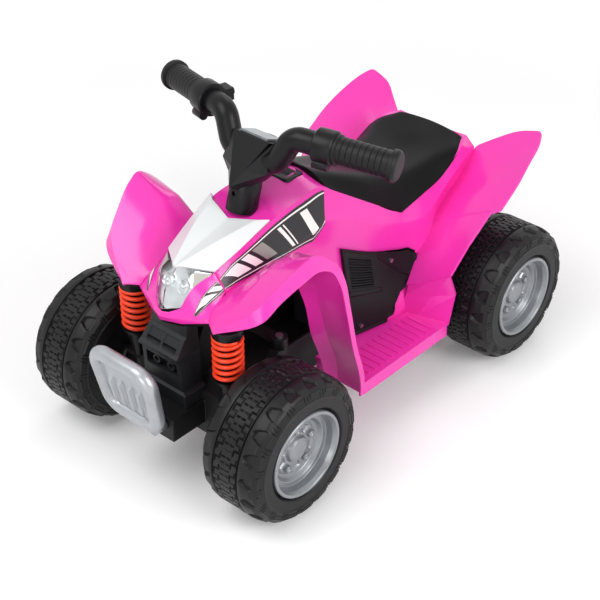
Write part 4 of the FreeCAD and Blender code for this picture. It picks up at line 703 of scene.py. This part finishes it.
# Front fenders: pink wings of the same moulding grade as the cowl, screwed to its sides.
# Each has a turned-down lip and a mudguard leg that runs down to the footboard.
FENDER = [
    [(59, -236, 238), (70, -243, 238), (78, -248, 237), (78, -247, 234)],
    [(55, -219, 252), (95, -227, 262), (126, -220, 279), (134, -222, 263)],
    [(52.5, -195, 258), (95, -200, 280), (138, -193, 303), (141, -195, 281)],
    [(56.5, -165, 264), (98, -168, 298), (147, -166, 321), (149, -166, 297)],
    [(60.5, -138, 270), (100, -140, 303), (150, -145, 327), (152, -143, 303)],
    [(62.5, -122, 272), (104, -122, 300), (152, -113, 302), (152, -121, 293)],
    [(80, -112, 258), (112, -104, 262), (153, -96, 272), (154, -105, 267)],
    [(95, -106, 222), (110, -94, 222), (154, -85, 225), (155, -94, 224)],
    [(95, -92, 165), (110, -78, 165), (155, -73, 165), (155, -81, 165)],
    [(95, -68, 96), (110, -54, 92), (155, -54, 92), (155, -62, 90)],
    [(95, -66, 78), (110, -54, 75), (155, -54, 74), (155, -62, 74)],
]
fender_shape = smooth_panel(FENDER, 8, 10, (), (1, 2))
skin_pair("fender_skin_front_", fender_shape, 1, gloss_pink, 3, 1.2, "front_fender_")

# Footwells: pink injected trays with a ribbed floor, an outer skirt and a leaning rear wall.
# They rest on the tub's outriggers and are screwed from below.
dress(gloss_pink, ["footwell_left", "footwell_right"], 1.0)

# Rear fenders: pink panels in the cowl's gloss, screwed to the footwell seam and the tail.
# They lean back, step out over the wheels and end in wings with blunt tips.
REAR = [
    [(92, 108, 134.5), (112, 114, 143), (125, 117.5, 151), (152, 125, 168)],
    [(88, 132, 166), (108, 142, 180), (130, 150, 190), (156, 159, 205)],
    [(82, 173, 202), (108, 182, 214), (134, 190, 226), (160, 197, 238)],
    [(76, 180, 206), (108, 188, 218), (140, 197, 231), (171, 204, 243)],
    [(72, 215, 224), (108, 222, 238), (140, 231, 252), (170, 241, 267)],
    [(71, 240, 237), (105, 250, 251), (138, 260, 268), (165, 271, 284)],
    [(70, 262, 251), (102, 275, 268), (134, 289, 284), (159, 301, 297)],
    [(67, 285, 268), (92, 301, 284), (116, 317, 296), (149, 322, 306)],
]
rear_shape = round_far_corners(smooth_panel(REAR, 12, 14, (1, 2, 3), ()), 0.035, 0.12)
skin_pair("fender_skin_rear_", rear_shape, 1, gloss_pink, 3.4, 1.2, "rear_fender_")


# Engine panels: black satin ABS covers let into the side wall, with cooling fins, a ledge and a diagonal rib.
# Their lower edge rises in steps toward the rear, and two screws hold each.
def engine_cover(rows, columns):
    """Side wall between the cowl's two lowest lines, pushed out 4 mm and its relief.

    Row counts the cowl's lines along the wall, and share runs down it. Fins: a step of sin(64 pi share).
    """
    per_row, per_column = 20, 2
    wall = smooth_panel(COWL[4:8, 3:5], per_row, per_column)
    along = np.linspace(0, 1, columns)[None, :]
    down = np.linspace(0, 1, rows)[:, None]
    row = along * 2.5
    top = np.interp(row, [0, 1.6, 2.2, 2.5], [0.02, 0.02, 0.05, 0.20])
    low = np.interp(row, [0, 1.18, 1.22, 1.45, 1.5, 1.75, 1.95, 2.2, 2.25, 2.5],
                    [0.985, 0.985, 0.93, 0.90, 0.80, 0.62, 0.58, 0.56, 0.50, 0.46])
    share = top + (low - top) * down
    base = sample(wall, row * per_row + 0 * share, share * per_column)
    fin_zone = hump(row, 0.565, 0.385, 0.02) * hump(share, 0.29, 0.17, 0.01)
    fins = fin_zone * (-1.6 + 2.0 * step_up(np.sin(share * 2 * math.pi * 32), 0.0, 0.5))
    ledge = 1.8 * hump(share, 0.5175, 0.0275, 0.008) * (1 - step_up(row, 1.15, 0.03))
    slant = share - 0.06 - (row - 1.15) * 0.36
    rib = 1.6 * hump(slant, 0, 0.022, 0.006) * step_up(row, 1.15, 0.02) * (1 - step_up(row, 2.25, 0.03))
    border = 1.2 * step_up(np.maximum(np.abs(down - 0.5) * 2, np.abs(along - 0.5) * 2), 0.955, 0.012)
    out = 4.0 + fins + ledge + rib + border
    return base + out[..., None] * np.array([0.985, 0.0, 0.17])


cover = engine_cover(230, 140)
skin_pair("engine_cover_", cover, -1, black_satin, 4, 0.0, "engine_panel_", crisp=35)

# Side graphics: thin printed vinyl stuck on the bonnet sides and the nose.
# The print is black, with slanted white and grey bars between two fine white lines.
VINYL_MM = 0.45
INK, PAPER, GREY = "#19171B", "#F1EFEA", "#8D9088"
BARS = [(0.0, INK), (0.17, PAPER), (0.30, INK), (0.335, PAPER), (0.40, INK), (0.43, GREY), (0.52, INK),
        (0.66, PAPER), (0.69, INK), (0.71, PAPER), (0.72, INK), (0.88, PAPER), (0.95, INK)]
OFF, ON = "#000000", "#FFFFFF"
MARGINS = [(0.0, ON), (0.24, OFF), (0.84, ON)]
LINES = [(0.0, OFF), (0.09, ON), (0.13, OFF), (0.90, ON), (0.94, OFF)]


def stepped_ramp(tree, source, steps):
    """Colour that holds each (place, shade) step up to the next place."""
    ramp = add_node(tree, "ShaderNodeValToRGB", (), [("Fac", source)])
    ramp.color_ramp.interpolation = "CONSTANT"
    marks = ramp.color_ramp.elements
    marks[0].color = linear(steps[0][1])
    marks[1].position, marks[1].color = steps[-1][0], linear(steps[-1][1])
    for place, shade in steps[1:-1]:
        marks.new(place).color = linear(shade)
    return ramp.outputs["Color"]


def side_graphic(rows, columns):
    """Patch of the cowl side between its top edge and its crease, its ends cut on a slant, and its chart."""
    fine = 40
    along = np.linspace(0, 1, rows)[:, None]
    up = np.linspace(0, 1, columns)[None, :]
    start = 0.03 + 0.03 * up
    row = start + (3.55 + 0.35 * up - start) * along
    top = np.interp(along, [0, 0.12, 1], [0.36, 0.18, 0.10])
    low = np.interp(along, [0, 0.12, 0.5, 0.86, 1], [0.93, 0.96, 1.12, 1.45, 1.05])
    share = low + (top - low) * up
    half = smooth_panel(COWL[:6, 1:4], fine, fine, (), (1,))
    return sample(half, row * fine, share * fine), np.stack(np.broadcast_arrays(along, up), -1)


def front_graphic(rows, columns):
    """Patch of the nose in line with the side band, narrowing to a point at the headlight, and its chart."""
    fine = 30
    along = np.linspace(0, 1, rows)[:, None]
    up = np.linspace(0, 1, columns)[None, :]
    high = np.interp(along, [0, 1], [1.20, 0.74])
    low = np.interp(along, [0, 1], [1.30, 1.84])
    half = smooth_panel(NOSE[:3], fine, fine, (2,), (1,))
    spot = sample(half, (1.90 - 1.86 * along + 0 * up) * fine, (low + (high - low) * up) * fine)
    return spot, np.stack(np.broadcast_arrays(along * 0.30 + 0.02, up), -1)


printed_vinyl, vinyl_tree, vinyl_shader = start_finish("printed_vinyl", [("Roughness", 0.32)])
vinyl_chart = add_node(vinyl_tree, "ShaderNodeUVMap", uv_map="chart").outputs["UV"]
vinyl_split = add_node(vinyl_tree, "ShaderNodeSeparateXYZ", (), [("Vector", vinyl_chart)]).outputs
vinyl_along, vinyl_up = vinyl_split["X"], vinyl_split["Y"]
vinyl_slant = add_node(vinyl_tree, "ShaderNodeMath", [(1, 0.16)], [(0, vinyl_up)], operation="MULTIPLY")
vinyl_place = add_node(vinyl_tree, "ShaderNodeMath", (), [(0, vinyl_along), (1, vinyl_slant.outputs[0])],
                       operation="ADD")
vinyl_bars = stepped_ramp(vinyl_tree, vinyl_place.outputs[0], BARS)
vinyl_dark = add_node(vinyl_tree, "ShaderNodeMix", [("B", linear("#1B181D"))],
                      [("Factor", stepped_ramp(vinyl_tree, vinyl_up, MARGINS)), ("A", vinyl_bars)],
                      data_type="RGBA").outputs["Result"]
vinyl_print = add_node(vinyl_tree, "ShaderNodeMix", [("B", linear(PAPER))],
                       [("Factor", stepped_ramp(vinyl_tree, vinyl_up, LINES)), ("A", vinyl_dark)],
                       data_type="RGBA").outputs["Result"]
vinyl_tree.links.new(vinyl_print, vinyl_shader.inputs["Base Color"])
for start, (patch, patch_chart) in (("side_graphic_", side_graphic(120, 24)),
                                    ("front_graphic_", front_graphic(40, 16))):
    lift = unit(np.cross(np.gradient(patch, axis=0), np.gradient(patch, axis=1)))
    lift *= np.sign(lift[..., :1])
    first = np.cross(patch[1, 0] - patch[0, 0], patch[0, 1] - patch[0, 0])
    outward = int(np.sign((lift * first).sum(2).mean()))
    for side, word in SIDES:
        faces = quads(patch)[:, ::-side * outward]
        piece(start + word, [((patch + VINYL_MM * lift) * (side, 1, 1), faces)], printed_vinyl, "frame",
              chart=patch_chart)

# Seat: a blow-moulded black saddle clipped over the tank, with side flaps and a rounded square tail.
# Its skin has a fine leather-like grain from the tool and a low sheen.
grained_black = moulded_plastic("blown_grained_black_polyethylene", "#0A0A0B", "#101011", 0.40, 2.2, 0.16,
                                45.0, 0.10)
SEAT = np.array([
    [(0, -13, 329), (29, -13, 326), (43, -9, 317)],
    [(0, -12, 338), (30, -12, 334), (46, -8, 320)],
    [(0, 52, 308), (48, 52, 304), (62, 52, 280)],
    [(0, 111, 283), (55, 111, 279), (77, 111, 242)],
    [(0, 150, 277), (56, 150, 274), (78, 150, 251)],
    [(0, 194, 278), (58, 194, 276), (77, 194, 260)],
    [(0, 240, 287), (60, 240, 285), (71, 243, 282)],
    [(0, 268, 292), (50, 264, 290), (58, 268, 284)],
    [(0, 272, 282), (48, 270, 284), (54, 272, 284)],
])
seat_shape = smooth_panel(whole_width(SEAT), 10, 12, (1, 7), ())
# The flaps' lower edge is a straight line from corner to corner, and fades into the curve past row 3.6.
row_number = np.linspace(0, len(SEAT) - 1, len(seat_shape))
corner_line = np.stack([np.interp(row_number, np.arange(len(SEAT)), part) for part in SEAT[:, 2].T], 1)
toward_edge = np.clip(np.abs(np.linspace(-2, 2, seat_shape.shape[1])) - 1, 0, 1) ** 2
early = np.clip(4.6 - row_number, 0, 1)[:, None]
bend = (early * (corner_line - seat_shape[:, -1]))[:, None] * toward_edge[:, None]
bend[..., 0] *= np.sign(seat_shape[..., 0])
seat_shape = round_far_corners(seat_shape + bend, 0.24, 0.4)
skin("saddle", seat_shape, 1, grained_black, 4, 1.0, ["seat"])

# Power switch: a grey ABS rocker in a small black bezel, snapped into a hole in the tank top.
# The bezel has a thin rounded flange that lies on the pink.
# Its outline has half widths times the cosine and sine to the power 0.35, a square with round corners.
FLANGE = np.array([(19.5, 17, 330), (19, 16.5, 335.4), (18, 15.5, 336.2), (12.6, 10.6, 336.2),
                   (12.2, 10.2, 335.6), (12, 10, 331)])
flange_x, flange_y, flange_up = FLANGE.T[..., None]
turn = np.arange(64) * 2 * math.pi / 64
corner_x, corner_y = (np.sign(way) * np.abs(way) ** 0.35 for way in (np.cos(turn), np.sin(turn)))
flange = np.stack(np.broadcast_arrays(flange_x * corner_x, SWITCH_Y + flange_y * corner_y, flange_up), -1)
flange_faces = quads(flange, False, True)
piece("switch_flange", [(flange, flange_faces)], black_satin, "frame")
dress(black_satin, ["switch_bezel"], 0.6)
button_grey = moulded_plastic("injected_button_grey_abs", "#2E2E31", "#3A3A3E", 0.36, 0.8, 0.05)
dress(button_grey, ["power_switch", "throttle_button"], 0.5)

# Handlebar: one bent black tube through the faceted pod, on a round neck over the steering column.
# Tube, pod, clamps and neck are satin black ABS; a screw through the neck holds them on the column.
BAR_HALF = np.array([(36, -90, 383), (56, -80, 422), (184, -44, 415)])
bar_path = bent_path(np.concatenate([BAR_HALF[::-1] * (-1, 1, 1), BAR_HALF]), 20, False)
bar = round_bar(bar_path, 15, (0, 1, 0), 32)
bar_faces = quads(bar, False, True)
piece("bar_tube", [(bar, bar_faces)], black_satin, "steering", ["handlebar"])
dress(black_satin, ["handlebar_neck", "control_clamp_left", "throttle_housing"], 1.2)
dress(black_satin, ["dash_pod"])
display_face = moulded_plastic("printed_display_grey", "#7E8387", "#A3A8AB", 0.22, 3.0, 0.03, 8.0)
dress(display_face, ["dash_display"], 0.3)

# Grips: dipped soft black PVC sleeves, pushed on the bar ends.
# They have ring grooves, an inner collar and a flange with a domed end.
soft_grip = moulded_plastic("dipped_soft_black_pvc", "#0E0E0F", "#161618", 0.44, 0.9, 0.10, 45.0, 0.22)
GRIP_START = 56.15
grip_line = [(0, 15), (0, 19), (4, 19), (4.6, 17.1)]
for groove in 10 + 7.4 * np.arange(8):
    grip_line += [(groove, 17.1), (groove + 0.2, 16.2), (groove + 0.9, 16.2), (groove + 1.1, 17.1)]
grip_line += [(70.5, 17.1), (71, 19.6), (71.6, 20), (76.5, 20), (77.2, 19.6), (78.4, 18.4), (79.8, 17),
              (80.6, 13), (81, 0)]
grip_shape = even_line(grip_line, 200, 0.3)
for side, word in SIDES:
    bar_bend, bar_end = BAR_HALF[1:] * (side, 1.0, 1.0)
    way = unit(bar_end - bar_bend)
    sleeve = turned_surface(grip_shape, bar_bend + way * GRIP_START, way, 48)
    piece("grip_sleeve_" + word, [(sleeve, quads(sleeve, False, True))], soft_grip, "steering",
          ["grip_" + word])


# Floor and light: a wide pale floor under a white backdrop, full white only to the camera, gloss and glass.
# One large soft lamp hangs in front, with a fill from the side, a low front lamp and a back lamp.
def seen_ray(tree):
    """1 for rays from the camera, off gloss or through glass (the greatest of three marks), 0 for others."""
    ray = add_node(tree, "ShaderNodeLightPath").outputs
    seen = ray["Is Camera Ray"]
    for mark in ("Is Glossy Ray", "Is Transmission Ray"):
        either = add_node(tree, "ShaderNodeMath", (), [(0, seen), (1, ray[mark])], operation="MAXIMUM")
        seen = either.outputs[0]
    return seen


floor_mesh = bpy.data.meshes.new("floor")
floor_mesh.from_pydata([(-8, -8, 0), (8, -8, 0), (8, 8, 0), (-8, 8, 0)], [], [(0, 1, 2, 3)])
floor = bpy.data.objects.new("floor", floor_mesh)
bpy.context.scene.collection.objects.link(floor)
floor_paint, floor_tree, floor_shader = start_finish("pale_studio_floor", [
    ("Base Color", linear("#FAFAFA")), ("Roughness", 0.9), ("Specular IOR Level", 0.1),
    ("Emission Color", (1, 1, 1, 1))])
floor_where = add_node(floor_tree, "ShaderNodeTexCoord").outputs["Object"]
floor_off = add_node(floor_tree, "ShaderNodeVectorMath", (), [(0, floor_where)], operation="LENGTH")
floor_lift = add_node(floor_tree, "ShaderNodeMapRange",
                      [("From Min", 1.0), ("From Max", 4.5), ("To Min", 0.10), ("To Max", 0.85)],
                      [("Value", floor_off.outputs["Value"])])
floor_glow = add_node(floor_tree, "ShaderNodeMath", (),
                      [(0, floor_lift.outputs["Result"]), (1, seen_ray(floor_tree))], operation="MULTIPLY")
floor_tree.links.new(floor_glow.outputs[0], floor_shader.inputs["Emission Strength"])
floor_mesh.materials.append(floor_paint)
LAMPS = {
    "key": ((-0.5, -1.5, 2.4), 1.6, 34.0),
    "fill": ((2.4, 0.0, 1.5), 1.4, 38.0),
    "front": ((0.9, -2.4, 0.9), 1.2, 13.0),
    "back": ((-0.8, 2.0, 2.2), 1.2, 8.0),
}
for name, (spot, wide, power) in LAMPS.items():
    lamp = bpy.data.lights.new(name, "AREA")
    lamp.size = wide
    lamp.energy = power
    lamp_thing = bpy.data.objects.new(name, lamp)
    lamp_thing.location = spot
    bpy.context.scene.collection.objects.link(lamp_thing)
    toward = np.array([0, 0, 0.15]) - np.array(spot)
    lamp_thing.rotation_euler = (math.atan2(math.hypot(toward[0], toward[1]), -toward[2]), 0,
                                 math.atan2(toward[1], toward[0]) - math.pi / 2)
world = bpy.data.worlds.new("studio")
bpy.context.scene.world = world
world.use_nodes = True
sky_tree = world.node_tree
sky_way = add_node(sky_tree, "ShaderNodeTexCoord").outputs["Generated"]
sky_up = add_node(sky_tree, "ShaderNodeSeparateXYZ", (), [("Vector", sky_way)])
sky_level = add_node(sky_tree, "ShaderNodeMapRange",
                     [("From Min", 0.0), ("From Max", 0.9), ("To Min", 0.26), ("To Max", 0.56)],
                     [("Value", sky_up.outputs["Z"])])
sky_white = add_node(sky_tree, "ShaderNodeMath", (),
                     [(0, sky_level.outputs["Result"]), (1, seen_ray(sky_tree))], operation="MAXIMUM")
sky_tree.nodes["Background"].inputs["Color"].default_value = (1, 1, 1, 1)
sky_tree.links.new(sky_white.outputs[0], sky_tree.nodes["Background"].inputs["Strength"])

# Camera: the photo's place, 2 m off to the front left and 34 degrees up.
# A long lens keeps the wheels' outlines near those in the photo.
camera = bpy.data.cameras.new("camera")
camera.lens = 88.17
camera.sensor_width = 36.0
camera_thing = bpy.data.objects.new("camera", camera)
camera_thing.location = (1.0944, -1.2286, 1.2439)
camera_thing.rotation_euler = (math.radians(90 - 34.27), 0, math.radians(41.83))
bpy.context.scene.collection.objects.link(camera_thing)
bpy.context.scene.camera = camera_thing
bpy.context.scene.view_settings.view_transform = "Standard"
